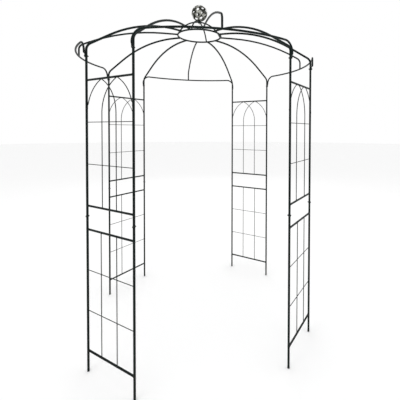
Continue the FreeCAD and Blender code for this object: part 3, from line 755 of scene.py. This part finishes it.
def cloud(tree, place, scale, detail=3.0, roughness=0.55):
    made = add_node(tree, "ShaderNodeTexNoise",
                    {"Vector": place, "Scale": scale, "Detail": detail, "Roughness": roughness})
    return made.outputs[0]


def ramp(tree, value, low, high):
    """0 below low, 1 above high, smooth between."""
    made = add_node(tree, "ShaderNodeMapRange", {0: value, 1: low, 2: high, 3: 0.0, 4: 1.0},
                    interpolation_type="SMOOTHSTEP")
    return made.outputs[0]


def mixed(tree, factor, first, second):
    """A colour between two, each given as a socket or as three numbers."""
    made = add_node(tree, "ShaderNodeMix", {0: factor}, data_type="RGBA")
    for name, value in (("A", first), ("B", second)):
        plain = not isinstance(value, bpy.types.NodeSocket)
        feed(tree, made.inputs, name, (*value, 1.0) if plain else value)
    return live_socket(made.outputs, "Result")


def worn_edge(tree):
    return add_node(tree, "ShaderNodeAttribute", attribute_name="wear").outputs["Fac"]


def set_shader(tree, shader, values):
    for name, value in values.items():
        feed(tree, shader.inputs, name, value)


def bump(tree, height, strength, distance, below=None):
    inputs = {"Height": height, "Strength": strength, "Distance": distance}
    if below is not None:
        inputs["Normal"] = below
    return add_node(tree, "ShaderNodeBump", inputs).outputs[0]


def powder_coat():
    """Bottle-green powder coat: fine orange peel, rubbed at cut edges, dusty near the soil."""
    shade = colours()
    material, tree, shader, place = new_finish("powder_coat")
    drift = cloud(tree, place, 7.0)
    mottle = cloud(tree, place, 190.0)
    peel = cloud(tree, place, 900.0, detail=1.5)
    grain = cloud(tree, place, 2600.0, detail=1.0)
    wear = worn_edge(tree)
    coat = mixed(tree, ramp(tree, drift, 0.35, 0.7), shade.paint, shade.paint_light)
    coat = mixed(tree, calculate(tree, "MULTIPLY", ramp(tree, mottle, 0.5, 0.8), 0.35),
                 coat, shade.paint_light)
    rubbed = ramp(tree, calculate(tree, "MULTIPLY_ADD", wear, 0.42, mottle), 0.78, 0.9)
    coat = mixed(tree, calculate(tree, "MULTIPLY", rubbed, 0.75), coat, shade.primer)
    height = add_node(tree, "ShaderNodeSeparateXYZ", {0: place}).outputs[2]
    low_down = calculate(tree, "SUBTRACT", 1.0, ramp(tree, height, 0.01, 0.26))
    splash = calculate(tree, "MULTIPLY", low_down, ramp(tree, cloud(tree, place, 60.0), 0.45, 0.72))
    dusty = calculate(tree, "MULTIPLY", splash, 0.5)
    unevenness = 0.22
    matt = calculate(tree, "MULTIPLY_ADD", mottle, unevenness, shade.paint_gloss - unevenness / 2)
    matt = calculate(tree, "MULTIPLY_ADD", dusty, 0.5, matt)
    orange_peel = bump(tree, peel, 0.35, 0.35 * MM)
    set_shader(tree, shader, {
        "Base Color": mixed(tree, dusty, coat, shade.soil),
        "Roughness": calculate(tree, "MULTIPLY_ADD", rubbed, 0.12, matt),
        "Specular IOR Level": 0.12,
        "Normal": bump(tree, grain, 0.2, 0.1 * MM, below=orange_peel),
    })
    return material


def blackened_steel():
    """Joint bolts and nuts: black finish, brighter on the worn edges."""
    shade = colours()
    material, tree, shader, place = new_finish("blackened_steel")
    mottle = cloud(tree, place, 420.0)
    rubbed = ramp(tree, calculate(tree, "MULTIPLY_ADD", worn_edge(tree), 0.3, mottle), 0.68, 0.9)
    tone = mixed(tree, ramp(tree, mottle, 0.4, 0.75), shade.black_steel, shade.grey_steel)
    set_shader(tree, shader, {
        "Base Color": mixed(tree, rubbed, tone, shade.zinc),
        "Roughness": calculate(tree, "MULTIPLY_ADD", mottle, 0.3, 0.25),
        "Metallic": 0.85,
        "Normal": bump(tree, cloud(tree, place, 1800.0), 0.25, 0.1 * MM),
    })
    return material


def zinc_plate():
    """Stud and its nuts: dull zinc plate with a faint yellow cast in patches."""
    shade = colours()
    material, tree, shader, place = new_finish("zinc_plate")
    patches = cloud(tree, place, 210.0)
    tone = mixed(tree, ramp(tree, patches, 0.35, 0.7), shade.zinc, shade.zinc_cast)
    specks = ramp(tree, cloud(tree, place, 700.0), 0.6, 0.75)
    set_shader(tree, shader, {
        "Base Color": mixed(tree, specks, tone, shade.tarnish),
        "Roughness": calculate(tree, "MULTIPLY_ADD", patches, 0.3, 0.25),
        "Metallic": 1.0,
        "Normal": bump(tree, cloud(tree, place, 2200.0), 0.2, 0.1 * MM),
    })
    return material


def silvered_metal():
    """Ball: silver-grey metal with darker tarnish in soft patches and fine pressing marks."""
    shade = colours()
    material, tree, shader, place = new_finish("silvered_metal")
    broad = cloud(tree, place, 24.0)
    mottle = cloud(tree, place, 130.0, detail=4.0)
    patches, spots = ramp(tree, broad, 0.44, 0.56), ramp(tree, mottle, 0.5, 0.7)
    tarnish = calculate(tree, "MAXIMUM", patches, spots)
    tarnished = calculate(tree, "MULTIPLY", tarnish, 0.95)
    matt = calculate(tree, "MULTIPLY_ADD", tarnish, 0.25, 0.27)
    dents = bump(tree, mottle, 0.3, 0.8 * MM)
    pressing = cloud(tree, place, 1500.0, detail=2.0)
    set_shader(tree, shader, {
        "Base Color": mixed(tree, tarnished, shade.silver, shade.tarnish),
        "Roughness": calculate(tree, "MULTIPLY_ADD", mottle, 0.1, matt),
        "Metallic": 1.0,
        "Specular Tint": (0.25, 0.25, 0.25, 1.0),
        "Normal": bump(tree, pressing, 0.25, 0.12 * MM, below=dents),
    })
    return material


FINISHES = {
    PAINTED: powder_coat,
    BLACKENED: blackened_steel,
    ZINC: zinc_plate,
    SILVERED: silvered_metal,
}


def finish(slot):
    """The material of a slot, made once."""
    maker = FINISHES[slot]
    return bpy.data.materials.get(maker.__name__) or maker()


def put_shape(name, shape, slot, nodes=()):
    return put(name, shape.to_mesh(name, finish(slot)), nodes)


def put_grown(name, carrier, tree_name, slot, nodes=(), **values):
    values["Finish"] = finish(slot)
    return put(name, grown_mesh(name, carrier, tree_name, values), nodes)


# Welds.

def weld_loop(foot, direction, radius, host_point, host_axis, host_radius):
    """Where a rod that runs along direction meets a round host: the closed line of their joint."""
    count = 24
    side = direction.orthogonal().normalized()
    other = direction.cross(side)
    run = direction - host_axis * direction.dot(host_axis)
    loop = []
    for index in range(count):
        angle = math.tau * index / count
        start = foot + (side * math.cos(angle) + other * math.sin(angle)) * radius
        gap = start - host_point
        gap = gap - host_axis * gap.dot(host_axis)
        square = run.length_squared
        half = gap.dot(run)
        reach = max(half * half - square * (gap.length_squared - host_radius ** 2), 0.0)
        loop.append(start + direction * (-half - math.sqrt(reach)) / square)
    return loop


def put_welds(name, loops):
    """Weld beads as one piece; each loop is (points, bead radius)."""
    lines = [(points, radius, True) for points, radius in loops]
    put_grown(name, carrier_of_lines(lines), "weld_beads", PAINTED)


# Posts.

def neck_profile(length_to_shoulder):
    """Profile of a post: a cut foot, a plain wall, a swaged shoulder and a neck, then the bore."""
    own = sizes()
    radius = post_radius()
    wall = own.post_wall
    lip = own.lip
    neck = radius - wall - SLEEVE_GAP
    top = length_to_shoulder + own.neck_length
    foot = [(0, lip, 1), (0.3 * lip, 0.3 * lip, 1), (lip, 0, 1), (12 * lip, 0, 0)]
    profile = [(along, radius - inset, wear) for along, inset, wear in foot]
    shoulder = length_to_shoulder - wall
    profile.append((shoulder - 6 * wall, radius, 0))
    for step in range(5):
        part = step / 4
        profile.append((shoulder + wall * part, radius + (neck - radius) * eased(part), 0.6))
    profile += [(top - lip, neck, 0), (top - 0.3 * lip, neck - 0.3 * lip, 1), (top, neck - lip, 1)]
    profile += [(top, neck - wall + lip, 1), (top - lip, neck - wall, 0)]
    profile += [(shoulder, neck - wall, 0), (shoulder - wall, radius - wall, 0)]
    profile += [(along, radius - wall + inset, wear) for along, inset, wear in reversed(foot)]
    return [(height, round_section(reach), wear) for height, reach, wear in profile]


def make_posts():
    for panel, doorways in PANELS.items():
        for doorway in doorways:
            for part in ("lower_post", "upper_post"):
                node = f"{part}_{panel}_{doorway}"
                low, high = height_range(node)
                foot = post_foot(panel, doorway) + UP * low
                shape = Shape()
                profile = neck_profile(high - low - sizes().neck_length)
                add_turned(shape, foot, profile)
                put_shape(f"{node}_tube", shape, PAINTED, [node])


# Lattice panels.

def row_heights(low, high):
    """Heights of the level wires, in equal rows between two rails."""
    return [low + (high - low) * row / LEVEL_ROWS for row in range(1, LEVEL_ROWS)]


def arch_line(base, across, spring, top, reach):
    """Flat points (across, height) of a wire that rises from base, then leans over to its peak."""
    height = top - spring
    radius = (reach ** 2 + height ** 2) / (2 * reach)
    sweep = math.asin(height / radius)
    steps = math.ceil(sweep / BEND_STEP)
    points = [(across, base)] if base < spring else []
    for step in range(steps + 1):
        angle = sweep * step / steps
        points.append((across + radius * (1 - math.cos(angle)), spring + radius * math.sin(angle)))
    return points


def make_section(section, panel, wires_of):
    """One lattice section: two rails, its wires, and the welds at their ends and crossings."""
    own = sizes()
    node = f"{section}_lattice_{panel}"
    low_face, high_face = height_range(node)
    low, high = low_face + own.rail_radius, high_face - own.rail_radius
    centre, along, outward, half = panel_frame(panel)
    rail_end = half - post_radius() + RAIL_BURIED
    wire_end = half - post_radius() + WIRE_BURIED
    loops = []

    def spot(across, out, height):
        return centre + along * across + outward * out + UP * height

    def weld_to_posts(height, radius, bead):
        for side in (-1, 1):
            loop = weld_loop(spot(0, 0, height), along * side, radius,
                             spot(side * half, 0, height), UP, post_radius())
            loops.append((loop, bead))

    rails = Shape()
    for height in (low, high):
        ends = [spot(side * rail_end, 0, height) for side in (-1, 1)]
        add_tube(rails, ends, lambda _: UP, own.rail_radius, own.rail_wall)
        weld_to_posts(height, own.rail_radius, own.bead)
    put_shape(f"{section}_rails_{panel}", rails, PAINTED, [node])

    lines = []
    spots = []
    rows = row_heights(low, high)
    for height in rows:
        ends = [spot(side * wire_end, 0, height) for side in (-1, 1)]
        lines.append((ends, own.level_radius, False))
        weld_to_posts(height, own.level_radius, own.wire_bead)
    layer = own.upright_radius + own.level_radius
    for flat, side in wires_of(low, high, half, rows):
        out = side * layer
        line = [spot(across, out, height) for across, height in flat]
        lines.append((line, own.upright_radius, False))
        loops += wire_end_welds(line, flat, spot, low, high, half)
        crossed = [height for height in rows if flat[0][1] < height]
        spots += [(spot(flat[0][0], side * own.level_radius, height), outward * side)
                  for height in crossed if flat[0][1] <= low + own.rail_radius]
    put_grown(f"{section}_wires_{panel}", carrier_of_lines(lines), "round_rods", PAINTED)
    put_grown(f"{section}_spot_welds_{panel}", carrier_of_points(spots), "weld_spots", PAINTED)
    put_welds(f"{section}_weld_beads_{panel}", loops)


def wire_end_welds(line, flat, spot, low, high, half):
    """Beads where a wire's two ends meet a rail or a post."""
    own = sizes()
    rail_axis = (spot(1, 0, 0) - spot(0, 0, 0)).normalized()
    loops = []
    for end, inner in ((0, 1), (-1, -2)):
        direction = (line[end] - line[inner]).normalized()
        across, height = flat[end]
        if abs(abs(across) - half) < 2 * post_radius():
            host = (spot(math.copysign(half, across), 0, 0), UP, post_radius())
        else:
            rail = low if height < (low + high) / 2 else high
            host = (spot(0, 0, rail), rail_axis, own.rail_radius)
        foot = line[end] - direction * 4 * host[2]
        loops.append((weld_loop(foot, direction, own.upright_radius, *host), own.wire_bead))
    return loops


def straight_wires(low, high, half, _):
    """Two uprights, both outside the level wires."""
    bury = 0.4 * sizes().rail_radius
    return [([(side * half / LEVEL_ROWS, low + bury), (side * half / LEVEL_ROWS, high - bury)], 1)
            for side in (-1, 1)]


def interlaced_wires(low, high, half, rows):
    """Two uprights that lean over and cross, and two side wires that spring from the posts."""
    own = sizes()
    bury = 0.4 * own.rail_radius
    reach = 2 * half / LEVEL_ROWS
    spring = rows[-1] + own.arch_spring
    wires = []
    for side in (1, -1):
        upright = arch_line(low + bury, -half / LEVEL_ROWS, spring, high, reach)
        from_post = arch_line(spring, -half, spring, high, reach)
        from_post = [point for point in from_post if point[0] > post_radius() * 0.75 - half]
        for line in (upright, from_post):
            buried = [(across * side, height) for across, height in line[:-1]]
            wires.append((buried, side))
    return wires


# Roof.

def make_ribs():
    own = sizes()
    end = own.ring_radius + ring_rod() + own.rib_gap
    top = ring_height()
    loops = []

    def put_rib(node, direction, lower_points, shoulder, bends, radius, wall):
        """A tube through its lower points and shoulder to the crown ring, and its end's bead."""
        line = lower_points + [direction * reach + UP * top for reach in (shoulder, end)]
        shape = Shape()
        add_tube(shape, bent_line(line, bends), lambda _: UP.cross(direction), radius, wall)
        put_shape(f"{node}_tube", shape, PAINTED, [node])
        loops.append(end_bead(direction, end, top, radius))

    for panel, doorways in PANELS.items():
        for doorway in doorways:
            node = f"rib_{panel}_{doorway}"
            foot = post_foot(panel, doorway)
            levels = (height_range(node)[0], own.knee_height)
            put_rib(node, foot.normalized(), [foot + UP * level for level in levels],
                    own.shoulder_radius, [own.knee_bend, own.rib_bend],
                    post_radius(), own.post_wall)
    radius, lintel_height = lintel_line()
    for doorway in DOORWAYS:
        direction = doorway_direction(doorway)
        foot = direction * radius
        levels = (lintel_height + 0.7 * own.rail_radius, own.mid_knee_height)
        put_rib(f"mid_rib_{doorway}", direction, [foot + UP * level for level in levels],
                own.mid_shoulder_radius, [own.mid_knee_bend, own.mid_rib_bend],
                own.rail_radius, own.rail_wall)
        bar = foot + UP * lintel_height
        above = bar + UP * 100 * MM
        joint = weld_loop(above, -UP, 0.8 * own.rail_radius, bar, UP.cross(direction),
                          own.rail_radius)
        loops.append((joint, 0.6 * own.bead))
    put_welds("roof_weld_beads", loops)


def end_bead(direction, end, height, radius):
    """The bead that fills the gap between the crown ring and a rib's end."""
    own = sizes()
    bead = own.bead * 1.15
    reach = radius - bead * 0.45
    axes = (UP.cross(direction), UP, direction)
    centre = direction * (end - own.rib_gap / 2) + UP * height
    return ring(centre, axes, round_section(reach), 24), bead


def lintel_stations(direction):
    """Points and sections along a lintel: flat tab, neck, tail, corner, bow and back again."""
    own = sizes()
    radius, height = lintel_line()
    bend = own.lintel_corner
    bolt = middle("rib_joint_bolts")[2]
    post = post_foot("front_right", "right")
    post_angle = math.acos(post.normalized().dot(doorway_direction("right")))
    end_angle = post_angle - math.atan(bend / radius)
    across = UP.cross(direction)
    tube = round_section(own.rail_radius)
    seat = post.length + post_radius() + own.seat_gap + own.tab_thickness / 2
    tail = math.hypot(radius, bend)
    tab_shift = seat - tail
    tab_top = bolt + own.tab_rise
    neck_top = tab_top + 2 * own.rail_radius

    def outward(angle):
        return direction * math.cos(angle) + across * math.sin(angle)

    half = []
    thick, wide = own.tab_thickness / 2, own.tab_width / 2
    for step in range(7, 0, -1):
        angle = math.radians(12 * step)
        section = flattened_section(thick, wide * math.cos(angle), 4)
        half.append((bolt - wide * math.sin(angle), tab_shift, section, 0.7))
    half.append((bolt, tab_shift, flattened_section(thick, wide, 4), 0.7))
    half.append((tab_top, tab_shift, flattened_section(thick, wide, 4), 0.4))
    for step in range(1, 10):
        part = step / 9
        ease = eased(part)
        section = flattened_section(
            thick + (own.rail_radius - thick) * ease,
            wide + (own.rail_radius - wide) * ease,
            4 - 2 * ease)
        half.append((tab_top + (neck_top - tab_top) * part, tab_shift * (1 - ease), section, 0.2))

    def tail_stations(side):
        bow_end = outward(side * end_angle) * radius
        along = across * math.cos(end_angle) * side - direction * math.sin(end_angle)
        made = []
        for level, shift, section, wear in half:
            point = bow_end + along * bend + UP * level
            made.append((point + outward_at(point) * shift, section, wear))
        inner = bow_end + UP * (height - bend)
        for step in range(13):
            angle = math.pi / 2 * step / 12
            point = inner + along * bend * math.cos(angle) + UP * bend * math.sin(angle)
            made.append((point, tube, 0.0))
        return made

    stations = tail_stations(-1)
    steps = math.ceil(2 * end_angle / BEND_STEP)
    for step in range(1, steps):
        angle = end_angle * (2 * step / steps - 1)
        stations.append((outward(angle) * radius + UP * height, tube, 0.0))
    return stations + tail_stations(1)[::-1]


def make_lintels():
    for doorway in DOORWAYS:
        stations = lintel_stations(doorway_direction(doorway))
        line = [point for point, _, _ in stations]
        rings = []
        for (point, section, _), axes in zip(stations, axes_along(line, outward_at)):
            rings.append(ring(point, axes, section))
        shape = Shape()
        shape.add_skin(rings, [wear for _, _, wear in stations])
        put_shape(f"lintel_{doorway}_bar", shape, PAINTED, [f"lintel_{doorway}"])


# Crown and finial.

def crown_arc():
    """The radius and the centre's height of the crown legs' arc."""
    own = sizes()
    rise = own.apex_height - ring_height()
    radius = (own.ring_radius ** 2 + rise ** 2) / (2 * rise)
    return radius, own.apex_height - radius


def make_crown():
    own = sizes()
    top = ring_height()
    rod = ring_rod()
    shape = Shape()
    rings = []
    count = 96
    for index in range(count):
        way = level_direction(math.tau * index / count)
        rings.append(ring(way * own.ring_radius + UP * top, (way, UP.copy(), UP.cross(way)),
                          lambda turn: (rod * math.cos(turn), -rod * math.sin(turn))))
    shape.add_skin(rings, closed=True)
    put_shape("crown_ring_rod", shape, PAINTED, ["crown_ring"])

    radius, centre = crown_arc()
    boss_low, boss_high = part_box("crown_boss")
    boss_radius = (boss_high[0] - boss_low[0]) / 2
    start = math.asin((top - centre) / radius)
    first = start + math.asin(0.6 * rod / radius)
    depth_in_boss = 1.5 * MM
    last = math.acos((boss_radius - depth_in_boss) / radius)
    steps = math.ceil((last - first) / BEND_STEP) * 2
    legs = []
    loops = []
    second_arch = own.crown_turn - own.crown_crossing
    for azimuth in (own.crown_turn, own.crown_turn + math.pi, second_arch, second_arch + math.pi):
        way = level_direction(azimuth)
        line = []
        for step in range(steps + 1):
            angle = first + (last - first) * step / steps
            line.append(way * radius * math.cos(angle) + UP * (centre + radius * math.sin(angle)))
        legs.append((line, own.leg_radius, False))
        down = (line[0] - line[1]).normalized()
        host = way * own.ring_radius + UP * top
        loops.append((weld_loop(line[0] - down * 3 * rod, down, own.leg_radius,
                                host, UP.cross(way), rod), 0.8 * own.bead))
        inward = (line[-1] - line[-2]).normalized()
        loops.append((weld_loop(line[-1] - inward * 3 * boss_radius, inward, own.leg_radius,
                                ORIGIN, UP, boss_radius), 0.8 * own.bead))
    put_grown("crown_leg_rods", carrier_of_lines(legs), "round_rods", PAINTED, ["crown_legs"],
              Sides=20)
    put_welds("crown_weld_beads", loops)

    boss = Shape()
    edge = 1.6 * MM
    bore = own.stud_radius + 0.2 * MM
    low, high = boss_low[2], boss_high[2]
    profile = [
        (low, boss_radius - edge, 0.5), (low + edge, boss_radius, 1),
        (low + 2 * edge, boss_radius, 0), (high - 2 * edge, boss_radius, 0),
        (high - edge, boss_radius, 1), (high, boss_radius - edge, 0.5),
        (high, bore + 0.5 * edge, 0), (high - 0.5 * edge, bore, 0),
        (low + 0.5 * edge, bore, 0), (low, bore + 0.5 * edge, 0),
    ]
    turned = [(level, round_section(reach), wear) for level, reach, wear in profile]
    add_turned(boss, ORIGIN, turned, count=40)
    put_shape("crown_boss_turned", boss, PAINTED, ["crown_boss"])


def add_thread(shape, low, high, radius, pitch, count=24):
    """A threaded rod with chamfered ends, its thread a true helix."""
    steps = math.ceil((high - low) / pitch * 6)
    depth = 0.55 * pitch
    rings = []
    for step in range(steps + 1):
        level = low + (high - low) * step / steps
        from_end = min(level - low, high - level)
        limit = radius - max(pitch - from_end, 0.0) * 0.8

        def section(angle, level=level, limit=limit):
            phase = (level / pitch - angle / math.tau) % 1.0
            reach = min(radius - depth * (1 - abs(2 * phase - 1)), limit)
            return reach * math.cos(angle), reach * math.sin(angle)

        rings.append(ring(UP * level, LEVEL_AXES, section, count))
    shape.add_skin(rings, [0.3] * len(rings))


def nut_profile(low, height, half_width, bore):
    """A hexagon nut with chamfered corners, from low upward."""
    corner = half_width / math.cos(math.pi / 6)
    face = 0.97 * half_width
    slope = 0.55 * (corner - face)
    levels = [(0, face), (slope, corner), (height - slope, corner), (height, face)]
    profile = [(low + level, hexagon_section(half_width, limit), 0.8) for level, limit in levels]
    countersink = 0.6 * MM
    inside = [(height, bore + countersink), (height - countersink, bore), (countersink, bore),
              (0, bore + countersink)]
    return profile + [(low + level, round_section(reach), 0.2) for level, reach in inside]


def make_finial():
    own = sizes()
    low, high = height_range("finial_stud")
    stud = Shape()
    pitch = 1.25 * MM
    add_thread(stud, low, high, own.stud_radius, pitch)
    put_shape("finial_stud_threaded", stud, ZINC, ["finial_stud"])
    nuts_low, nuts_high = height_range("finial_nuts")
    nuts = Shape()
    for level in (nuts_low, nuts_high - own.stud_nut_height):
        profile = nut_profile(level, own.stud_nut_height, own.stud_nut_width / 2,
                              own.stud_radius + THREAD_CLEARANCE)
        add_turned(nuts, ORIGIN, profile, count=FASTENER_SIDES)
    put_shape("finial_nuts_hexagon", nuts, ZINC, ["finial_nuts"])

    ball_low = height_range("finial_ball")[0]
    low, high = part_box("finial_ball")
    cad_radius = (high[1] - low[1]) / 2
    carrier = carrier_of_points([(ORIGIN, UP)])
    put_grown(
        "openwork_ball", carrier, "openwork_ball", SILVERED, ["finial_ball"],
        Radius=own.ball_radius, Opening=own.ball_opening, Wall=own.ball_wall, Rim=own.ball_rim,
        Centre=(0.0, 0.0, ball_low + cad_radius))


# Joint fasteners.

def bolt_shape(grip):
    """A button-head bolt with a hexagon socket; its head's underside is at the origin."""
    own = sizes()
    shank = own.bolt_radius
    head = own.bolt_head / 2
    tall = own.bolt_head_height
    socket = 2 * MM
    shape = Shape()
    pitch = 1 * MM
    thread_top = pitch - grip
    add_thread(shape, -(grip + own.nut_height + own.bolt_tail), thread_top,
               shank - THREAD_CLEARANCE, pitch, count=18)
    dome = [(0, shank), (0, head - 0.3 * MM), (0.3 * MM, head)]
    for step in range(1, 8):
        angle = math.radians(10 * step)
        dome.append((0.5 * MM + (tall - 0.5 * MM) * math.sin(angle) / math.sin(math.radians(70)),
                     head * (0.35 + 0.65 * math.cos(angle))))
    profile = [(thread_top, round_section(shank), 0)]
    profile += [(level, round_section(reach), 0.5) for level, reach in dome]
    hexagon = hexagon_section(socket, 2 * socket)
    chamfered = hexagon_section(socket * 1.1, 2 * socket)
    profile += [(tall - 0.02 * MM, chamfered, 1), (tall - 0.3 * MM, hexagon, 0.6),
                (0.45 * tall, hexagon, 0)]
    add_turned(shape, ORIGIN, profile, count=FASTENER_SIDES, closed=False)
    return shape


def nut_shape(grip):
    own = sizes()
    shape = Shape()
    profile = nut_profile(-grip - own.nut_height, own.nut_height, own.nut_width / 2,
                          own.bolt_radius + THREAD_CLEARANCE)
    add_turned(shape, ORIGIN, profile, count=FASTENER_SIDES)
    return shape


def put_fasteners(node, shape, places):
    """One piece with a copy of a fastener at every place."""
    name = f"{node}_set"
    pattern = add_object("pattern", shape.to_mesh("pattern", finish(BLACKENED)))
    put_grown(name, carrier_of_points(places), "fasteners", BLACKENED, [node], Fastener=pattern)
    bpy.data.objects.remove(pattern)


def make_fasteners():
    own = sizes()
    radius = post_radius()
    joints = {"post_joint": [], "rib_joint": []}
    for panel, doorways in PANELS.items():
        panel_outward = panel_frame(panel)[2]
        for doorway in doorways:
            foot = post_foot(panel, doorway)
            low = foot + UP * middle("post_joint_bolts")[2]
            seat = low + panel_outward * (radius + own.seat_gap)
            joints["post_joint"].append((seat, panel_outward))
            outward = foot.normalized()
            high = foot + UP * middle("rib_joint_bolts")[2]
            reach = radius + 2 * own.seat_gap + own.tab_thickness
            joints["rib_joint"].append((high + outward * reach, outward))
    grips = {
        "post_joint": 2 * radius + 2 * own.seat_gap,
        "rib_joint": 2 * radius + own.tab_thickness + 3 * own.seat_gap,
    }
    for joint, places in joints.items():
        put_fasteners(f"{joint}_bolts", bolt_shape(grips[joint]), places)
        put_fasteners(f"{joint}_nuts", nut_shape(grips[joint]), places)


# Stage.

def make_floor(settings):
    material, tree, shader, place = new_finish("pale_floor")
    darker = [0.99 * part for part in settings.floor]
    tint = mixed(tree, cloud(tree, place, 0.8), settings.floor, darker)
    set_shader(tree, shader, {"Base Color": tint, "Roughness": 0.9, "Specular IOR Level": 0.1})
    mesh = bpy.data.meshes.new("floor")
    edge = ring(ORIGIN, LEVEL_AXES, round_section(settings.floor_radius), 96)
    mesh.from_pydata(edge, [], [list(range(len(edge)))])
    mesh.materials.append(material)
    add_object("floor", mesh)


def make_light(name, place, target, width, power):
    lamp = bpy.data.lights.new(name, "AREA")
    lamp.shape = "DISK"
    lamp.size = width
    lamp.energy = power
    light = add_object(name, lamp)
    light.location = place
    light.rotation_mode = "QUATERNION"
    light.rotation_quaternion = (target - place).to_track_quat("-Z", "Y")


def make_world(settings):
    world = bpy.data.worlds.new("studio")
    world.use_nodes = True
    backdrop = world.node_tree.nodes["Background"]
    backdrop.inputs["Color"].default_value = (1.0, 1.0, 1.0, 1.0)
    backdrop.inputs["Strength"].default_value = settings.sky
    bpy.context.scene.world = world
    bpy.context.scene.view_settings.view_transform = "Standard"


def make_camera(settings):
    lens = bpy.data.cameras.new("view")
    lens.lens = settings.lens
    lens.shift_x = settings.shift_side
    lens.shift_y = settings.shift_up
    camera = add_object("view", lens)
    level = math.pi / 2
    turn = Matrix.Rotation(-settings.yaw, 4, "Z") @ Matrix.Rotation(level - settings.pitch, 4, "X")
    place = Matrix.Translation((-settings.eye_side, -settings.eye_back, settings.eye_height))
    camera.matrix_world = place @ turn @ Matrix.Rotation(settings.roll, 4, "Z")
    bpy.context.scene.camera = camera


def make_stage():
    settings = bpy.context.scene.arbour_stage
    low, high = CAD_BOX
    target = (Vector(low) + Vector(high)) / 2
    span = (high - low).length
    make_floor(settings)
    for name, (place, width) in LAMPS.items():
        make_light(name, Vector(place) * span, target, width * span, getattr(settings, name))
    make_world(settings)
    make_camera(settings)


# Operators, panel and registration.
class ARBOUR_OT_posts(bpy.types.Operator):
    """Sixteen post tubes with swaged necks"""
    bl_idname = "arbour.posts"
    bl_label = "Posts"

    def execute(self, context):
        make_posts()
        return {"FINISHED"}


class ARBOUR_OT_lower_panels(bpy.types.Operator):
    """Four lower lattice sections, with straight wires"""
    bl_idname = "arbour.lower_panels"
    bl_label = "Lower panels"

    def execute(self, context):
        for panel in PANELS:
            make_section("lower", panel, straight_wires)
        return {"FINISHED"}


class ARBOUR_OT_upper_panels(bpy.types.Operator):
    """Four upper lattice sections, with interlaced arches"""
    bl_idname = "arbour.upper_panels"
    bl_label = "Upper panels"

    def execute(self, context):
        for panel in PANELS:
            make_section("upper", panel, interlaced_wires)
        return {"FINISHED"}


class ARBOUR_OT_lintels(bpy.types.Operator):
    """Four bowed bars with flattened ends"""
    bl_idname = "arbour.lintels"
    bl_label = "Lintels"

    def execute(self, context):
        make_lintels()
        return {"FINISHED"}


class ARBOUR_OT_ribs(bpy.types.Operator):
    """Eight main ribs and four mid ribs"""
    bl_idname = "arbour.ribs"
    bl_label = "Ribs"

    def execute(self, context):
        make_ribs()
        return {"FINISHED"}


class ARBOUR_OT_crown(bpy.types.Operator):
    """Crown ring, its four legs and their boss"""
    bl_idname = "arbour.crown"
    bl_label = "Crown"

    def execute(self, context):
        make_crown()
        return {"FINISHED"}


class ARBOUR_OT_finial(bpy.types.Operator):
    """Openwork ball with its stud and nuts"""
    bl_idname = "arbour.finial"
    bl_label = "Finial"

    def execute(self, context):
        make_finial()
        return {"FINISHED"}


class ARBOUR_OT_fasteners(bpy.types.Operator):
    """Bolts and nuts of the sixteen joints"""
    bl_idname = "arbour.fasteners"
    bl_label = "Fasteners"

    def execute(self, context):
        make_fasteners()
        return {"FINISHED"}


class ARBOUR_OT_stage(bpy.types.Operator):
    """Floor, lights, world and camera"""
    bl_idname = "arbour.stage"
    bl_label = "Stage"

    def execute(self, context):
        make_stage()
        return {"FINISHED"}


OPERATORS = [
    ARBOUR_OT_posts,
    ARBOUR_OT_lower_panels,
    ARBOUR_OT_upper_panels,
    ARBOUR_OT_lintels,
    ARBOUR_OT_ribs,
    ARBOUR_OT_crown,
    ARBOUR_OT_finial,
    ARBOUR_OT_fasteners,
    ARBOUR_OT_stage,
]


class ARBOUR_PT_build(bpy.types.Panel):
    """Lists the arbour's build steps and sizes"""
    bl_idname = "ARBOUR_PT_build"
    bl_label = "Garden arbour"
    bl_space_type = "VIEW_3D"
    bl_region_type = "UI"
    bl_category = "Arbour"

    def draw(self, context):
        for step in OPERATORS:
            self.layout.operator(step.bl_idname)
        for group in ("arbour_sizes", "arbour_colours", "arbour_stage"):
            settings = getattr(context.scene, group)
            box = self.layout.box()
            for name in settings.__annotations__:
                box.prop(settings, name)


CLASSES = [ArbourSizes, ArbourColours, ArbourStage, *OPERATORS, ARBOUR_PT_build]


def register():
    for item in CLASSES:
        bpy.utils.register_class(item)
    bpy.types.Scene.arbour_sizes = bpy.props.PointerProperty(type=ArbourSizes)
    bpy.types.Scene.arbour_colours = bpy.props.PointerProperty(type=ArbourColours)
    bpy.types.Scene.arbour_stage = bpy.props.PointerProperty(type=ArbourStage)


def unregister():
    del bpy.types.Scene.arbour_stage
    del bpy.types.Scene.arbour_colours
    del bpy.types.Scene.arbour_sizes
    for item in reversed(CLASSES):
        bpy.utils.unregister_class(item)


def main():
    register()
    for step in OPERATORS:
        getattr(bpy.ops.arbour, step.bl_idname.split(".")[1])()


if __name__ == "__main__":
    main()
